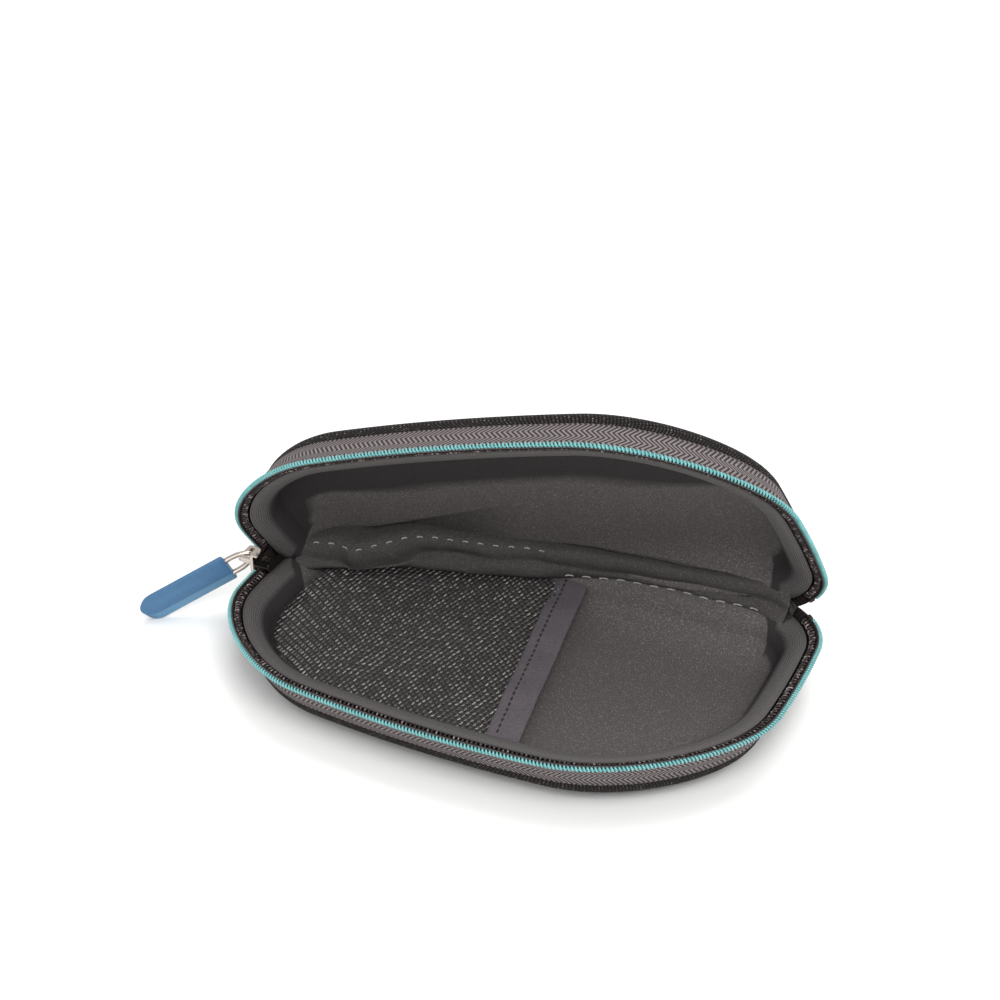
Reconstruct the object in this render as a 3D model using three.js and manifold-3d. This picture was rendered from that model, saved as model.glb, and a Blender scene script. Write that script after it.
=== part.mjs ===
// Soft zip case for a blood glucose meter: two moulded foam halves that open like a clam along a
// fabric spine, a coil zip round the free edge, a net pocket inside and a moulded zip pull.
// Millimetres, +Z up. X runs along the case, the zip opens towards -Y, the case stands on Z = 0.
// The lid is drawn open, as it stands when the case is in use.
import * as THREE from 'three';
import { mergeVertices } from 'three/addons/utils/BufferGeometryUtils.js';
import Module from 'manifold-3d';

const wasm = await Module();
wasm.setup();

// Overall form
const CASE_HALF_LENGTH = 76;
const FRONT_REACH = 50;
const BACK_REACH = 43;
const HALF_DEPTH = 18;
const FRONT_RIGHT_RADIUS = 44;
const FRONT_LEFT_RADIUS = 34;
const BACK_RIGHT_RADIUS = 18;
const BACK_LEFT_RADIUS = 24;
const LEAST_INSET_RADIUS = 4;
const FRONT_BOW_share = 0.2;
const SIDE_BOW_share = 0.06;
const INSET_RADIUS_share = 0.72;

// Hinge: the line about which the lid swings, from the parked slider to the spine's free end
const HINGE_LEFT_REACH = 0;
const HINGE_RIGHT_REACH = 43;
const OPEN_ANGLE = THREE.MathUtils.degToRad(60);
const CREASE_ANGLE = THREE.MathUtils.degToRad(22);
const HINGE_CLEARANCE = 0.8;
const LID_ZIP_CLEARANCE = 2.4;

// Layers of each half
const LAYER_GAP = 0.3;
const FABRIC_THICKNESS = 1;
const FOAM_THICKNESS = 2.5;
const LINING_THICKNESS = 0.8;
const TAPE_THICKNESS = 0.7;

// Section of a half, from the rim inwards: inset from the outline and depth from the rim plane
const TAPE_EDGE_INSET = 1.9;
const TAPE_EDGE_DEPTH = 2.2;
const TAPE_INNER_INSET = 7.4;
const TAPE_INNER_DEPTH = 5.3;
const DOME_FOOT_INSET = 7.1;
const DOME_FOOT_DEPTH = 5.9;
const DOME_REACH = 17;
const DOME_STEPS = 5;
const DOME_POWER = 2.1;
const LINING_EDGE_INSET = 4.4;
const LINING_EDGE_DEPTH = 2.6;

// Zip
const COIL_RADIUS = 0.8;
const COIL_INSET = 0.9;
const COIL_DEPTH = 1.35;
const COIL_SIDES = 8;
const SLIDER_LENGTH = 9;
const SLIDER_PLATE = 1.2;
const SLIDER_HALF_WIDTH = 3.3;
const SLIDER_LIP = 0.8;
const SLIDER_LIP_REACH = 1.45;
const SLIDER_RUN_GAP = 0.35;
const DIVIDER_THICKNESS = 0.5;
const DIVIDER_LENGTH = 3;
const INNER_PLATE = 0.8;
const INNER_PLATE_HALF_WIDTH = 1.3;
const INNER_PLATE_INSET = 2.6;
const BRIDGE_LENGTH = 6.4;
const BRIDGE_BAR = 1.1;
const BRIDGE_TUNNEL = 3.4;
const BAIL_STANDOFF = 2.2;
const BRIDGE_WIDTH = 1.5;
const CHAIN_END_REACH = 9;
const STOP_LENGTH = 2.2;
const STOP_WALL = 0.6;

// Spine: the rolled fabric strip that joins the halves round the back and one corner
const SPINE_END_REACH = 12;
const SPINE_CREASE_INSET = 6.6;
const SPINE_CREASE_DEPTH = 7.4;
const SPINE_SHOULDER_INSET = 3.4;
const SPINE_SHOULDER_DEPTH = 8;
const SPINE_TURN_INSET = 0.2;
const SPINE_TURN_DEPTH = 5.4;
const SPINE_PROUD = 1.6;
const SPINE_FOAM_THICKNESS = 1.6;

// Facing strips that cover the hinge inside, and the soft corner behind the hinge
const FACING_DEPTH = 9.4;
const FACING_STRIP = 6;
const CORNER_BEHIND = 10.5;
const CORNER_SEAT = 1.2;

// Net pocket
const NET_THICKNESS = 0.8;
const NET_STRAND = 1.1;
const NET_GAP_LENGTH = 4.4;
const NET_GAP_WIDTH = 3.1;
const NET_BORDER = 1.4;
const NET_FRONT_DEPTH = 9;
const NET_BACK_DEPTH = 6.2;
const NET_BACK_AHEAD = -14;
const NET_FRONT_AHEAD = 50;
const HEM_BACK_ALONG = 79;
const HEM_FRONT_ALONG = 73;
const HEM_WIDTH = 9;
const HEM_THICKNESS = 1.8;

// Pull
const PULL_YAW = THREE.MathUtils.degToRad(36);
const PULL_DROOP = THREE.MathUtils.degToRad(26.5);
const BAIL_WIRE_RADIUS = 0.55;
const BAIL_HALF_WIDTH = 2.7;
const BAIL_CORNER = 1.6;
const BAIL_LENGTH = 7;
const BAIL_SEAT = 2.5;
const TAB_LENGTH = 27;
const TAB_WIDTH = 9;
const TAB_THICKNESS = 3.2;
const TAB_BEVEL = 0.6;
const SEAT_CLEARANCE = 0.3;

// Round stretches
const ARC_STEPS = 6;
const FRONT_STEPS = 6;
const BACK_STEPS = 6;
const SIDE_STEPS = 2;
const CUT_OVERRUN = 5;

const COLOURS = {
  panel: 0x231c1c, foam: 0x3b3b3d, lining: 0x3a3a3c, tape: 0x6b6264, coil: 0x5fb8b8,
  net: 0x2b2b2d, hem: 0x5b5359, nickel: 0xc9c4bb, pull: 0x3d78a5,
};

const lookOf = (colour, roughness, metalness = 0) =>
  new THREE.MeshStandardMaterial({ color: colour, roughness, metalness });

const LOOKS = {
  panel: lookOf(COLOURS.panel, 0.95),
  foam: lookOf(COLOURS.foam, 0.9),
  lining: lookOf(COLOURS.lining, 0.95),
  tape: lookOf(COLOURS.tape, 0.85),
  coil: lookOf(COLOURS.coil, 0.4),
  net: lookOf(COLOURS.net, 0.7),
  hem: lookOf(COLOURS.hem, 0.9),
  nickel: lookOf(COLOURS.nickel, 0.3, 1),
  pull: lookOf(COLOURS.pull, 0.5),
};

// Geometry tools

// Volume enclosed by an indexed geometry, negative where its faces point in.
function signedVolume(geometry) {
  const place = geometry.attributes.position;
  const index = geometry.index.array;
  const corner = [new THREE.Vector3(), new THREE.Vector3(), new THREE.Vector3()];
  let volume = 0;
  for (let i = 0; i < index.length; i += 3) {
    corner.forEach((point, k) => point.fromBufferAttribute(place, index[i + k]));
    volume += corner[0].dot(corner[1].clone().cross(corner[2])) / 6;
  }
  return volume;
}

// Turns every face over where the faces point in.
function facingOut(geometry) {
  if (signedVolume(geometry) < 0) {
    const index = geometry.index.array;
    for (let i = 0; i < index.length; i += 3) {
      [index[i + 1], index[i + 2]] = [index[i + 2], index[i + 1]];
    }
  }
  return geometry;
}

function weldedFrom(geometry) {
  const bare = geometry.clone();
  bare.deleteAttribute('normal');
  bare.deleteAttribute('uv');
  return mergeVertices(bare);
}

function solidOf(geometry) {
  const welded = weldedFrom(geometry);
  return new wasm.Manifold(new wasm.Mesh({
    numProp: 3,
    vertProperties: new Float32Array(welded.attributes.position.array),
    triVerts: new Uint32Array(welded.index.array),
  }));
}

function geometryOf(solid) {
  const mesh = solid.getMesh();
  const geometry = new THREE.BufferGeometry();
  geometry.setAttribute('position', new THREE.BufferAttribute(new Float32Array(mesh.vertProperties), 3));
  geometry.setIndex(new THREE.BufferAttribute(new Uint32Array(mesh.triVerts), 1));
  geometry.computeVertexNormals();
  return geometry;
}

const minus = (geometry, ...tools) =>
  geometryOf(tools.reduce((rest, tool) => rest.subtract(solidOf(tool)), solidOf(geometry)));
const plus = (geometry, ...others) =>
  geometryOf(others.reduce((whole, other) => whole.add(solidOf(other)), solidOf(geometry)));
const common = (geometry, other) => geometryOf(solidOf(geometry).intersect(solidOf(other)));

// Skins a list of closed rings that all have the same number of points. Open ends are closed by
// fans to the middle of the first and last ring; otherwise the last ring joins the first.
function skinOf(rings, joined = false) {
  const count = rings[0].length;
  const points = rings.flat();
  const faces = [];
  const last = joined ? rings.length : rings.length - 1;
  for (let r = 0; r < last; r += 1) {
    const a = r * count;
    const b = ((r + 1) % rings.length) * count;
    for (let i = 0; i < count; i += 1) {
      const j = (i + 1) % count;
      faces.push(a + i, a + j, b + j, a + i, b + j, b + i);
    }
  }
  if (!joined) {
    [[0, false], [rings.length - 1, true]].forEach(([r, turned]) => {
      const middle = new THREE.Vector3();
      rings[r].forEach((point) => middle.add(point));
      points.push(middle.divideScalar(count));
      const hub = points.length - 1;
      for (let i = 0; i < count; i += 1) {
        const pair = [r * count + i, r * count + ((i + 1) % count)];
        if (!turned) pair.reverse();
        faces.push(hub, ...pair);
      }
    });
  }
  const geometry = new THREE.BufferGeometry().setFromPoints(points);
  geometry.setIndex(faces);
  facingOut(geometry);
  geometry.computeVertexNormals();
  return geometry;
}

// Plan outline

// The four corners, anticlockwise from the back right, as the way to the centre and the radius.
const CORNERS = [
  { x: 1, y: 1, radius: BACK_RIGHT_RADIUS, start: 0, steps: BACK_STEPS },
  { x: -1, y: 1, radius: BACK_LEFT_RADIUS, start: Math.PI / 2, steps: SIDE_STEPS },
  { x: -1, y: -1, radius: FRONT_LEFT_RADIUS, start: Math.PI, steps: FRONT_STEPS },
  { x: 1, y: -1, radius: FRONT_RIGHT_RADIUS, start: 1.5 * Math.PI, steps: SIDE_STEPS },
];
const PLAN_CENTRE_Y = (BACK_REACH - FRONT_REACH) / 2;
const PLAN_HALF_WIDTH = (BACK_REACH + FRONT_REACH) / 2;

// The sides bow in a little towards the corners, and the front edge more.
function bowed(x, y) {
  const across = (y - PLAN_CENTRE_Y) / PLAN_HALF_WIDTH;
  const along = x / CASE_HALF_LENGTH;
  const bow = y < PLAN_CENTRE_Y ? (PLAN_CENTRE_Y - y) * FRONT_BOW_share * along * along : 0;
  return new THREE.Vector2(x * (1 - SIDE_BOW_share * across * across), y + bow);
}

// The case's outline drawn in by an inset: arcs at the corners, bowed sides between them.
function outlineAt(inset) {
  const corners = CORNERS.map((corner) => {
    const radius = Math.max(corner.radius - INSET_RADIUS_share * inset, LEAST_INSET_RADIUS);
    const reach = corner.y > 0 ? BACK_REACH : FRONT_REACH;
    const centre = new THREE.Vector2(
      corner.x * (CASE_HALF_LENGTH - inset - radius),
      corner.y * (reach - inset - radius),
    );
    return { ...corner, radius, centre };
  });
  const points = [];
  corners.forEach((corner, k) => {
    for (let i = 0; i <= ARC_STEPS; i += 1) {
      const turn = corner.start + (i / ARC_STEPS) * (Math.PI / 2);
      points.push(new THREE.Vector2(Math.cos(turn), Math.sin(turn))
        .multiplyScalar(corner.radius).add(corner.centre));
    }
    const next = corners[(k + 1) % corners.length];
    const from = points[points.length - 1];
    const to = new THREE.Vector2(Math.cos(next.start), Math.sin(next.start))
      .multiplyScalar(next.radius).add(next.centre);
    for (let i = 1; i < corner.steps; i += 1) {
      points.push(from.clone().lerp(to, i / corner.steps));
    }
  });
  return points.map((point) => bowed(point.x, point.y));
}

// Hinge frame

const RIM_HEIGHT = HALF_DEPTH;
const HINGE_LEFT = new THREE.Vector2(-CASE_HALF_LENGTH, HINGE_LEFT_REACH);
const HINGE_RIGHT = new THREE.Vector2(CASE_HALF_LENGTH, HINGE_RIGHT_REACH);
const HINGE_TURN = HINGE_RIGHT.clone().sub(HINGE_LEFT).angle();
const ALONG = new THREE.Vector2(Math.cos(HINGE_TURN), Math.sin(HINGE_TURN));
const AHEAD = new THREE.Vector2(Math.sin(HINGE_TURN), -Math.cos(HINGE_TURN));
const WORKSPACE = 4 * CASE_HALF_LENGTH;

const aheadOf = (point) => point.clone().sub(HINGE_LEFT).dot(AHEAD);
const planAt = (along, ahead) =>
  HINGE_LEFT.clone().addScaledVector(ALONG, along).addScaledVector(AHEAD, ahead);
const spotAt = (along, ahead, height) => {
  const plan = planAt(along, ahead);
  return new THREE.Vector3(plan.x, plan.y, height);
};

// A block that fills everything behind the line that lies the given way ahead of the hinge.
function blockBehind(ahead) {
  const block = new THREE.BoxGeometry(WORKSPACE, WORKSPACE, WORKSPACE);
  block.translate(0, WORKSPACE / 2, 0);
  block.rotateZ(HINGE_TURN);
  const middle = planAt(CASE_HALF_LENGTH, ahead);
  return block.translate(middle.x, middle.y, RIM_HEIGHT);
}

function blockAhead(ahead) {
  const block = new THREE.BoxGeometry(WORKSPACE, WORKSPACE, WORKSPACE);
  block.translate(0, -WORKSPACE / 2, 0);
  block.rotateZ(HINGE_TURN);
  const middle = planAt(CASE_HALF_LENGTH, ahead);
  return block.translate(middle.x, middle.y, RIM_HEIGHT);
}

// Everything above the crease plane, which rises backwards from the hinge line.
function blockOverCrease() {
  const block = new THREE.BoxGeometry(WORKSPACE, WORKSPACE, WORKSPACE);
  block.translate(0, 0, WORKSPACE / 2 - LAYER_GAP);
  block.rotateX(CREASE_ANGLE);
  block.rotateZ(HINGE_TURN);
  const middle = planAt(CASE_HALF_LENGTH, 0);
  return block.translate(middle.x, middle.y, RIM_HEIGHT);
}

// Section of a half

// The dome's outer line: a superellipse from its foot over the tape to the flat panel.
function domeLine() {
  const rise = HALF_DEPTH - DOME_FOOT_DEPTH;
  const line = [];
  for (let i = 0; i <= DOME_STEPS; i += 1) {
    const turn = (i / DOME_STEPS) * (Math.PI / 2);
    const inwards = 1 - Math.cos(turn) ** (2 / DOME_POWER);
    const up = Math.sin(turn) ** (2 / DOME_POWER);
    line.push(new THREE.Vector2(DOME_FOOT_INSET + DOME_REACH * inwards, DOME_FOOT_DEPTH + rise * up));
  }
  return line;
}

// A line of inset and depth moved square to itself towards the inside of the case.
function movedIn(line, amount) {
  return line.map((point, i) => {
    const before = line[Math.max(i - 1, 0)];
    const after = line[Math.min(i + 1, line.length - 1)];
    const way = after.clone().sub(before).normalize();
    return new THREE.Vector2(point.x + way.y * amount, point.y - way.x * amount);
  });
}

// The ring of the outline at one inset and depth; side is 1 for the lid and -1 for the base.
const ringAt = (inset, depth, side) =>
  outlineAt(inset).map((point) => new THREE.Vector3(point.x, point.y, RIM_HEIGHT + side * depth));

// A moulded layer between an outer and an inner line, closed over the flat panel.
function layerOf(outer, inner, side) {
  const rings = [
    ...outer.slice().reverse(),
    ...inner,
  ].map((point) => ringAt(point.x, point.y, side));
  return skinOf(rings);
}

// A band whose closed section runs once round the whole outline.
function bandOf(section, side) {
  return skinOf(section.map((point) => ringAt(point.x, point.y, side)), true);
}

// Inset at which a line of inset and depth reaches a given depth.
function insetOn(line, depth) {
  const above = line.findIndex((point) => point.y >= depth);
  if (above < 1) return line[above < 0 ? line.length - 1 : 0].x;
  const [from, to] = [line[above - 1], line[above]];
  return THREE.MathUtils.mapLinear(depth, from.y, to.y, from.x, to.x);
}

const DOME = domeLine();
const FOAM_MOVE = FABRIC_THICKNESS + LAYER_GAP;
const LINING_MOVE = FOAM_MOVE + FOAM_THICKNESS + LAYER_GAP;
const LINING_EDGE = new THREE.Vector2(LINING_EDGE_INSET, LINING_EDGE_DEPTH);

// Inner layers share the dome's line, moved in; the lining also runs out to the zip tape.
const foamLine = () => movedIn(DOME, FOAM_MOVE);
const foamInnerLine = () => movedIn(DOME, FOAM_MOVE + FOAM_THICKNESS);
const liningLine = (move) => {
  const line = [LINING_EDGE, ...movedIn(DOME, LINING_MOVE)];
  return move > 0 ? movedIn(line, move) : line;
};

const TAPE_LINE = [
  new THREE.Vector2(TAPE_EDGE_INSET, TAPE_EDGE_DEPTH),
  new THREE.Vector2(TAPE_INNER_INSET, TAPE_INNER_DEPTH),
];

const fabricLayer = (side) => layerOf(DOME, movedIn(DOME, FABRIC_THICKNESS), side);
const foamLayer = (side) => layerOf(foamLine(), foamInnerLine(), side);
const liningLayer = (side) => layerOf(liningLine(0), liningLine(LINING_THICKNESS), side);

function tapeBand(side) {
  return bandOf([...TAPE_LINE, ...movedIn(TAPE_LINE, TAPE_THICKNESS).reverse()], side);
}

function coilBand(side) {
  const section = [];
  for (let i = 0; i < COIL_SIDES; i += 1) {
    const turn = (i / COIL_SIDES) * 2 * Math.PI;
    section.push(new THREE.Vector2(
      COIL_INSET + COIL_RADIUS * Math.cos(turn),
      COIL_DEPTH + COIL_RADIUS * Math.sin(turn),
    ));
  }
  return bandOf(section, side);
}

// A block across the left end of the case, from the given reach backwards.
function blockLeftBehind(reach) {
  const block = new THREE.BoxGeometry(CASE_HALF_LENGTH, WORKSPACE, WORKSPACE);
  return block.translate(-CASE_HALF_LENGTH, reach + WORKSPACE / 2, RIM_HEIGHT);
}

function blockLeftAhead(reach) {
  const block = new THREE.BoxGeometry(CASE_HALF_LENGTH, WORKSPACE, WORKSPACE);
  return block.translate(-CASE_HALF_LENGTH, reach - WORKSPACE / 2, RIM_HEIGHT);
}

// Spine section, from the crease on one half round the rim to the crease on the other.
function spineLine() {
  const half = [
    new THREE.Vector2(SPINE_CREASE_INSET, SPINE_CREASE_DEPTH),
    new THREE.Vector2(SPINE_SHOULDER_INSET, SPINE_SHOULDER_DEPTH),
    new THREE.Vector2(SPINE_TURN_INSET, SPINE_TURN_DEPTH),
  ];
  const middle = new THREE.Vector2(-SPINE_PROUD, 0);
  const mirrored = half.slice().reverse().map((point) => new THREE.Vector2(point.x, -point.y));
  return [...half, middle, ...mirrored];
}

// A strip of the spine between two moves inwards from its outer line.
function spineBand(outerMove, innerMove) {
  const line = spineLine();
  const section = [...movedIn(line, -outerMove), ...movedIn(line, -innerMove).reverse()];
  const whole = bandOf(section, -1);
  return minus(whole, blockAhead(-HINGE_CLEARANCE), blockLeftAhead(SPINE_END_REACH), blockOverCrease());
}

// The lid's fabric behind the hinge line, folded down under the crease plane.
function cornerLayer(drop, thickness, behind) {
  const slope = Math.tan(CREASE_ANGLE);
  const heightAt = (plan, depth, under) => {
    const limit = -aheadOf(plan) * slope - drop - thickness;
    return RIM_HEIGHT + LAYER_GAP + Math.max(Math.min(depth - drop, limit), 0) + under;
  };
  const dome = movedIn(DOME, drop + thickness);
  const line = [new THREE.Vector2(dome[0].x - CORNER_SEAT, dome[0].y), ...dome];
  const ringOver = (under) => (point) =>
    outlineAt(point.x).map((plan) => new THREE.Vector3(plan.x, plan.y, heightAt(plan, point.y, under)));
  const whole = skinOf([
    ...line.map(ringOver(thickness)).reverse(),
    ...line.map(ringOver(0)),
  ]);
  return minus(whole, blockAhead(-behind));
}

// A block that fills everything below the given depth in the base.
function blockBelow(depth) {
  const block = new THREE.BoxGeometry(WORKSPACE, WORKSPACE, WORKSPACE);
  return block.translate(0, 0, RIM_HEIGHT - depth - WORKSPACE / 2);
}

// Facing sewn over the base's back wall, from just under the rim down the lining.
function baseFacing() {
  const move = LINING_THICKNESS + LAYER_GAP;
  const layer = layerOf(liningLine(move), liningLine(move + LINING_THICKNESS), -1);
  const aheadOfIt = blockAhead(-HINGE_CLEARANCE);
  return minus(layer, aheadOfIt, blockLeftAhead(SPINE_END_REACH), blockBelow(FACING_DEPTH));
}

// Facing that binds the lid lining's edge along the hinge.
function lidFacing() {
  const move = LINING_THICKNESS + LAYER_GAP;
  const layer = layerOf(liningLine(move), liningLine(move + LINING_THICKNESS), 1);
  return minus(layer, blockBehind(HINGE_CLEARANCE), blockAhead(HINGE_CLEARANCE + FACING_STRIP));
}

// Net pocket, drawn in its own tilted plane

const NET_TILT = Math.atan2(NET_FRONT_DEPTH - NET_BACK_DEPTH, NET_FRONT_AHEAD - NET_BACK_AHEAD);
const netDepthAt = (ahead) => NET_BACK_DEPTH + (ahead - NET_BACK_AHEAD) * Math.tan(NET_TILT);
const hemAlongAt = (ahead) => THREE.MathUtils.mapLinear(
  ahead, NET_BACK_AHEAD, NET_FRONT_AHEAD, HEM_BACK_ALONG, HEM_FRONT_ALONG,
);

// Inset of the pocket's edge at a given depth, just inside the facing.
const pocketInsetAt = (depth) => insetOn(liningLine(2 * (LINING_THICKNESS + LAYER_GAP)), depth);

// The pocket's edge against the lining, as points along and ahead of the hinge.
function pocketEdge(extraInset) {
  const rim = outlineAt(0);
  const points = rim.map((start, i) => {
    let plan = start;
    for (let pass = 0; pass < 4; pass += 1) {
      const depth = netDepthAt(aheadOf(plan)) + NET_THICKNESS;
      plan = outlineAt(pocketInsetAt(depth) + extraInset)[i];
    }
    const from = plan.clone().sub(HINGE_LEFT);
    return new THREE.Vector2(from.dot(ALONG), from.dot(AHEAD));
  });
  return points;
}

// Part of an outline on the kept side of a line through two points.
function clipped(points, from, to) {
  const way = to.clone().sub(from);
  const sideOf = (point) => way.x * (point.y - from.y) - way.y * (point.x - from.x);
  const kept = [];
  points.forEach((point, i) => {
    const next = points[(i + 1) % points.length];
    const here = sideOf(point);
    const there = sideOf(next);
    if (here >= 0) kept.push(point);
    if ((here >= 0) !== (there >= 0)) {
      kept.push(point.clone().lerp(next, here / (here - there)));
    }
  });
  return kept;
}

// The net's outline: the lining's wall all round, up to the hem at the right.
function netOutline(inset) {
  const wall = pocketEdge(inset).reverse();
  const low = new THREE.Vector2(hemAlongAt(NET_BACK_AHEAD) - inset, NET_BACK_AHEAD);
  const high = new THREE.Vector2(hemAlongAt(NET_FRONT_AHEAD) - inset, NET_FRONT_AHEAD);
  return clipped(wall, low, high);
}

// Sets a shape drawn along and ahead of the hinge into the pocket's tilted plane.
function inPocketPlane(geometry, lift) {
  const place = geometry.attributes.position;
  for (let i = 0; i < place.count; i += 1) {
    const ahead = place.getY(i);
    const spot = spotAt(place.getX(i), ahead, RIM_HEIGHT - netDepthAt(ahead) + lift + place.getZ(i));
    place.setXYZ(i, spot.x, spot.y, spot.z);
  }
  const welded = weldedFrom(geometry);
  facingOut(welded);
  welded.computeVertexNormals();
  return welded;
}

const insideOf = (point, outline) => {
  let inside = false;
  outline.forEach((a, i) => {
    const b = outline[(i + 1) % outline.length];
    const crosses = (a.y > point.y) !== (b.y > point.y);
    if (crosses && point.x < a.x + ((b.x - a.x) * (point.y - a.y)) / (b.y - a.y)) inside = !inside;
  });
  return inside;
};

// Knitted net: a sheet pierced by staggered diamond gaps that stay clear of its edge.
function pocketNet() {
  const sheet = new THREE.Shape(netOutline(NET_STRAND));
  const bound = netOutline(NET_STRAND + NET_BORDER);
  const pitchAlong = NET_GAP_LENGTH + NET_STRAND;
  const pitchAhead = (NET_GAP_WIDTH + NET_STRAND) / 2 + NET_STRAND / 2;
  const rows = Math.ceil(2 * (NET_FRONT_AHEAD - NET_BACK_AHEAD) / pitchAhead);
  const columns = Math.ceil(HEM_BACK_ALONG / pitchAlong);
  for (let row = 0; row < rows; row += 1) {
    for (let column = 0; column < columns; column += 1) {
      const middle = new THREE.Vector2(
        (column + (row % 2) / 2) * pitchAlong,
        2 * NET_BACK_AHEAD + row * pitchAhead,
      );
      const corners = [[1, 0], [0, 1], [-1, 0], [0, -1]].map(([x, y]) => new THREE.Vector2(
        middle.x + (x * NET_GAP_LENGTH) / 2,
        middle.y + (y * NET_GAP_WIDTH) / 2,
      ));
      if (corners.every((corner) => insideOf(corner, bound))) sheet.holes.push(new THREE.Path(corners));
    }
  }
  const plate = new THREE.ExtrudeGeometry(sheet, { depth: NET_THICKNESS, bevelEnabled: false });
  return inPocketPlane(plate, 0);
}

// Folded hem along the pocket's mouth.
function pocketHem() {
  const edge = pocketEdge(LAYER_GAP).reverse();
  const left = (ahead) => hemAlongAt(ahead) - NET_STRAND + LAYER_GAP;
  const span = [NET_BACK_AHEAD, NET_FRONT_AHEAD];
  const [back, front] = span;
  let strip = clipped(edge, new THREE.Vector2(left(front), front), new THREE.Vector2(left(back), back));
  strip = clipped(
    strip,
    new THREE.Vector2(left(back) + HEM_WIDTH, back),
    new THREE.Vector2(left(front) + HEM_WIDTH, front),
  );
  const plate = new THREE.ExtrudeGeometry(
    new THREE.Shape(strip),
    { depth: HEM_THICKNESS, bevelEnabled: false },
  );
  return inPocketPlane(plate, (NET_THICKNESS - HEM_THICKNESS) / 2);
}

// Slider, drawn about the chain's middle: X is the inset, Y runs along the chain, Z across it

const CHAIN_X = -CASE_HALF_LENGTH;
const SLIDER_FACE_INSET = COIL_INSET - COIL_RADIUS - SLIDER_RUN_GAP;
const SLIDER_BACK_INSET = SLIDER_FACE_INSET - SLIDER_PLATE;
const TUNNEL_INSET = SLIDER_BACK_INSET - BAIL_STANDOFF;

// A box given by its inset range, its reach range and its half width across the chain.
function chainBlock(inset, reach, width) {
  const block = new THREE.BoxGeometry(inset[1] - inset[0], reach[1] - reach[0], width[1] - width[0]);
  return block.translate(
    CHAIN_X + (inset[0] + inset[1]) / 2,
    (reach[0] + reach[1]) / 2,
    RIM_HEIGHT + (width[0] + width[1]) / 2,
  );
}

function sliderBody() {
  const half = SLIDER_LENGTH / 2;
  const run = [-half, half];
  const lipInset = [SLIDER_BACK_INSET, SLIDER_FACE_INSET + SLIDER_LIP_REACH];
  const inside = SLIDER_HALF_WIDTH - SLIDER_LIP;
  const plateWidth = [-SLIDER_HALF_WIDTH, SLIDER_HALF_WIDTH];
  const plate = chainBlock([SLIDER_BACK_INSET, SLIDER_FACE_INSET], run, plateWidth);
  const lips = [-1, 1].map((side) =>
    chainBlock(lipInset, run, [Math.min(side * inside, side * SLIDER_HALF_WIDTH),
      Math.max(side * inside, side * SLIDER_HALF_WIDTH)]));
  const mouth = [-half, -half + DIVIDER_LENGTH];
  const innerEnd = INNER_PLATE_INSET + INNER_PLATE;
  const divider = chainBlock(
    [SLIDER_BACK_INSET, innerEnd],
    mouth,
    [-DIVIDER_THICKNESS / 2, DIVIDER_THICKNESS / 2],
  );
  const innerPlate = chainBlock(
    [INNER_PLATE_INSET, innerEnd],
    run,
    [-INNER_PLATE_HALF_WIDTH, INNER_PLATE_HALF_WIDTH],
  );
  return plus(plate, ...lips, divider, innerPlate, sliderBridge());
}

// The arch on the slider's outer face, with the tunnel that holds the bail.
function sliderBridge() {
  const outer = BRIDGE_LENGTH / 2;
  const top = BRIDGE_TUNNEL + BRIDGE_BAR;
  const arch = new THREE.Shape();
  arch.moveTo(-outer, -SLIDER_PLATE / 2);
  arch.lineTo(outer, -SLIDER_PLATE / 2);
  arch.lineTo(outer, top - BRIDGE_BAR);
  arch.absarc(outer - BRIDGE_BAR, top - BRIDGE_BAR, BRIDGE_BAR, 0, Math.PI / 2);
  arch.absarc(-outer + BRIDGE_BAR, top - BRIDGE_BAR, BRIDGE_BAR, Math.PI / 2, Math.PI);
  const tunnel = new THREE.Path();
  const clear = outer - BRIDGE_BAR;
  tunnel.moveTo(-clear, 0);
  tunnel.lineTo(-clear, BRIDGE_TUNNEL);
  tunnel.lineTo(clear, BRIDGE_TUNNEL);
  tunnel.lineTo(clear, 0);
  arch.holes.push(tunnel);
  const extent = { depth: BRIDGE_WIDTH, bevelEnabled: false, curveSegments: 3 };
  const bridge = new THREE.ExtrudeGeometry(arch, extent);
  bridge.translate(0, 0, -BRIDGE_WIDTH / 2);
  bridge.applyMatrix4(new THREE.Matrix4().makeBasis(
    new THREE.Vector3(0, 1, 0),
    new THREE.Vector3(-1, 0, 0),
    new THREE.Vector3(0, 0, 1),
  ));
  return bridge.translate(CHAIN_X + SLIDER_BACK_INSET, 0, RIM_HEIGHT);
}

// The joined chain behind the parked slider.
function closedChain() {
  const inset = [COIL_INSET - COIL_RADIUS, COIL_INSET + COIL_RADIUS];
  const reach = [SLIDER_LENGTH / 2 + LAYER_GAP, CHAIN_END_REACH];
  const width = COIL_DEPTH + COIL_RADIUS;
  return chainBlock(inset, reach, [-width, width]);
}

function bottomStop() {
  const inset = [COIL_INSET - COIL_RADIUS - STOP_WALL, COIL_INSET + COIL_RADIUS];
  const reach = [CHAIN_END_REACH + LAYER_GAP, CHAIN_END_REACH + LAYER_GAP + STOP_LENGTH];
  const width = COIL_DEPTH + COIL_RADIUS + STOP_WALL;
  return chainBlock(inset, reach, [-width, width]);
}

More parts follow.
